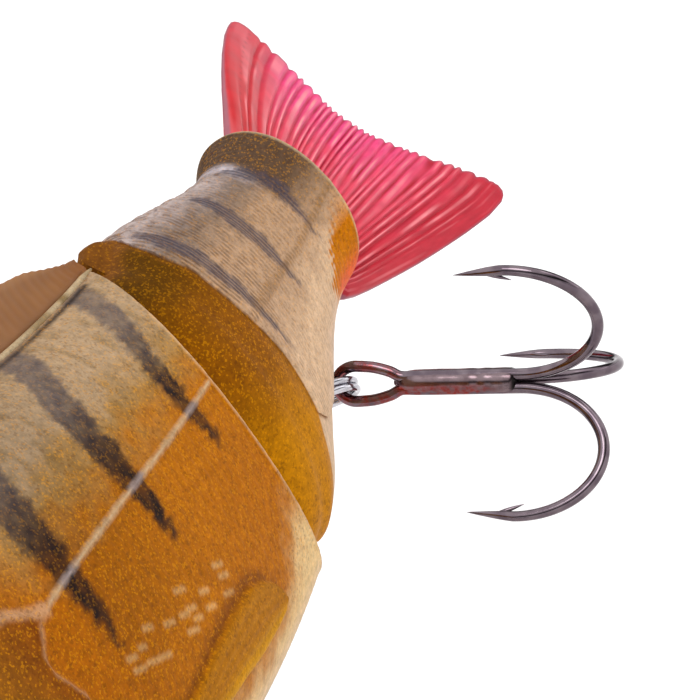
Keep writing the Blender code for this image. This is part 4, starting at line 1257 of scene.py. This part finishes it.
def make_hook_set(prefix, slide, aim, turn_deg, skins):
    hang, centre = joint_place(prefix + "_ring_swing"), joint_place(prefix + "_treble_slide")
    hang_aim = (centre - hang).normalized()
    axis = Vector(JOINTS[prefix + "_treble_slide"]["axis"]).normalized()
    make_split_ring(prefix + "_split_ring", prefix + "_ring", centre, axis, hang_aim, skins["steel"])
    out = hang_aim * cos(slide) + Vector((0, -1, 0)) * sin(slide)
    spreads = treble_spreads(aim, turn_deg)
    across = (spreads[0] - spreads[1]).normalized()
    eye = centre + out * RING_RADIUS - aim * HOOK_SEAT + across * HOOK_SHIFT
    make_treble(prefix, eye, aim, spreads, skins)


def make_wires(skins):
    steel, up, flank = skins["steel"], (0, 0, 1), (0, 1, 0)
    make_eyelet("line_tie_eyelet", "front", (0, 0, 0), (1, 0, 0), flank, 17.5, steel)
    make_eyelet("front_hook_hanger", "front", joint_place("front_ring_swing"), up, flank, 10, steel)
    make_eyelet("rear_hook_hanger", "tail", joint_place("rear_ring_swing"), up, flank, 6.5, steel)
    for level, z in zip(("upper", "lower"), HINGE_HEIGHTS):
        make_eyelet(level + "_hinge_eyelet", "front", (JOINT_X, 0, z), (-1, 0, 0), up, 17, steel)
    make_hook_set("front", 0, Vector((0, 0, -1)), 30, skins)
    make_hook_set("rear", REAR_SLIDE, REAR_TREBLE_AIM, 96.8, skins)


def make_eye(side_name, material):
    """A domed eye with a gold iris, a dark ring and a black pupil."""
    sides, dome, radius = 48, 14, 3.99
    sign = SIDES[side_name]
    half_width = float(outline(np.array(EYE_X))[2])
    centre = Vector((EYE_X, sign * (half_width - 1), EYE_Z))
    aim = Vector((-0.26, sign * 0.95, 0.17)).normalized()
    u = aim.orthogonal().normalized()
    v = aim.cross(u)
    rises = [pi / 2 * k / dome for k in range(1, dome + 1)]
    profile = [(-0.9, radius), (0.55, radius)]
    profile += [(0.6 + 1.5 * sin(rise), radius * cos(rise) + 0.02) for rise in rises]
    points, colour = [], []
    for height, reach in profile:
        share = reach / 4
        rgb = (10, 10, 12) if share < 0.46 else (60, 34, 12) if share > 0.9 else (216, 160, 40)
        for k in range(sides):
            angle = 2 * pi * k / sides
            points.append(centre + aim * height + (u * cos(angle) + v * sin(angle)) * reach)
            colour.append(srgb(*rgb))
    faces = tube_faces(len(profile), sides, flip=True)
    eye = make_object(side_name + "_domed_eye", points, faces, material, np.array(colour))
    settle(eye, "front", side_name + "_eye")


# ---- stage

CAMERA_TARGET = Vector((0.15332, 0, -0.01642))
CAMERA_DISTANCE = 0.36975
CAMERA_AZIMUTH = radians(-60.9)
CAMERA_ELEVATION = radians(14.97)
CAMERA_ROLL = radians(-35.82)
CAMERA_LENS = 148.88
SKY_LIGHT = 1.5
# Share of the overhead light by height above the horizon: pale at the horizon, a dark band, a soft top.
SKY = ((0, 0.68), (0.13, 0.68), (0.2, 0.06), (0.34, 0.06), (0.62, 1))


def make_camera():
    data = bpy.data.cameras.new("photo_camera")
    data.lens = CAMERA_LENS
    data.sensor_width = 36
    data.clip_start, data.clip_end = 0.01, 20
    camera = bpy.data.objects.new("photo_camera", data)
    bpy.context.scene.collection.objects.link(camera)
    level = cos(CAMERA_ELEVATION)
    back = Vector((sin(CAMERA_AZIMUTH) * level, -cos(CAMERA_AZIMUTH) * level, sin(CAMERA_ELEVATION)))
    right = Vector((0, 0, 1)).cross(back).normalized()
    up = back.cross(right)
    turned = right * cos(CAMERA_ROLL) + up * sin(CAMERA_ROLL)
    camera.matrix_world = Matrix((turned, back.cross(turned), back)).transposed().to_4x4()
    camera.matrix_world.translation = CAMERA_TARGET + back * CAMERA_DISTANCE
    bpy.context.scene.camera = camera


def area_light(name, place, target, size, power):
    data = bpy.data.lights.new(name, "AREA")
    data.shape = "DISK"
    data.size = size
    data.energy = power
    lamp = bpy.data.objects.new(name, data)
    lamp.location = place
    lamp.rotation_euler = (Vector(target) - Vector(place)).to_track_quat("-Z", "Y").to_euler()
    bpy.context.scene.collection.objects.link(lamp)


def make_stage(material):
    world = bpy.data.worlds.new("studio")
    world.use_nodes = True
    tree = world.node_tree
    place = tree.nodes.new("ShaderNodeTexCoord")
    split = tree.nodes.new("ShaderNodeSeparateXYZ")
    climb = tree.nodes.new("ShaderNodeValToRGB")
    climb.color_ramp.interpolation = "EASE"
    stops = climb.color_ramp.elements
    stops[0].position, stops[1].position = SKY[0][0], SKY[-1][0]
    for height, _ in SKY[1:-1]:
        stops.new(height)
    for stop, (_, level) in zip(stops, SKY):
        stop.color = (level, level, level, 1)
    tree.links.new(place.outputs["Generated"], split.inputs[0])
    tree.links.new(split.outputs["Z"], climb.inputs[0])
    back = tree.nodes["Background"]
    back.inputs["Strength"].default_value = SKY_LIGHT
    tree.links.new(climb.outputs["Color"], back.inputs["Color"])
    bpy.context.scene.world = world
    bpy.context.scene.view_settings.view_transform = "Standard"
    floor_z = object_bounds()[0].z / MM - 0.2
    reach = 3000
    corners = [(x * reach, y * reach, floor_z) for x, y in ((-1, -1), (1, -1), (1, 1), (-1, 1))]
    make_object("floor", corners, [[0, 1, 2, 3]], material)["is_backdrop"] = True
    centre = (0.12, 0, 0)
    area_light("key", (-0.35, -0.55, 0.85), centre, 0.5, 3)
    area_light("fill", (0.5, -0.7, 0.25), centre, 0.6, 1.2)


# ---- all of it


def main():
    skins = make_materials()
    make_camera()
    for side_name in SIDES:
        make_front_shell(side_name, skins["front_skin"])
        make_tail_shell(side_name, skins["tail_skin"])
        make_fin_bead(side_name, skins["front_skin"])
        make_eye(side_name, skins["eye"])
    make_dorsal("front_dorsal_fin", FRONT_DORSAL, skins["dorsal"])
    make_dorsal("rear_dorsal_fin", REAR_DORSAL, skins["dorsal"])
    make_plug(skins["soft_tail"])
    make_tail_fin(skins["soft_tail"])
    make_wires(skins)
    kept = {
        "hinge_pin": "steel",
        "rattle_ball": "steel",
        "front_ballast": "lead",
        "rear_ballast": "lead",
        "rattle_tube": "brass",
        "rattle_tube_plug": "brass",
    }
    for node, skin in kept.items():
        data = frame["nodes"][node].data
        data.materials.clear()
        data.materials.append(skins[skin])
    make_stage(skins["floor"])


main()
bpy.context.view_layer.update()
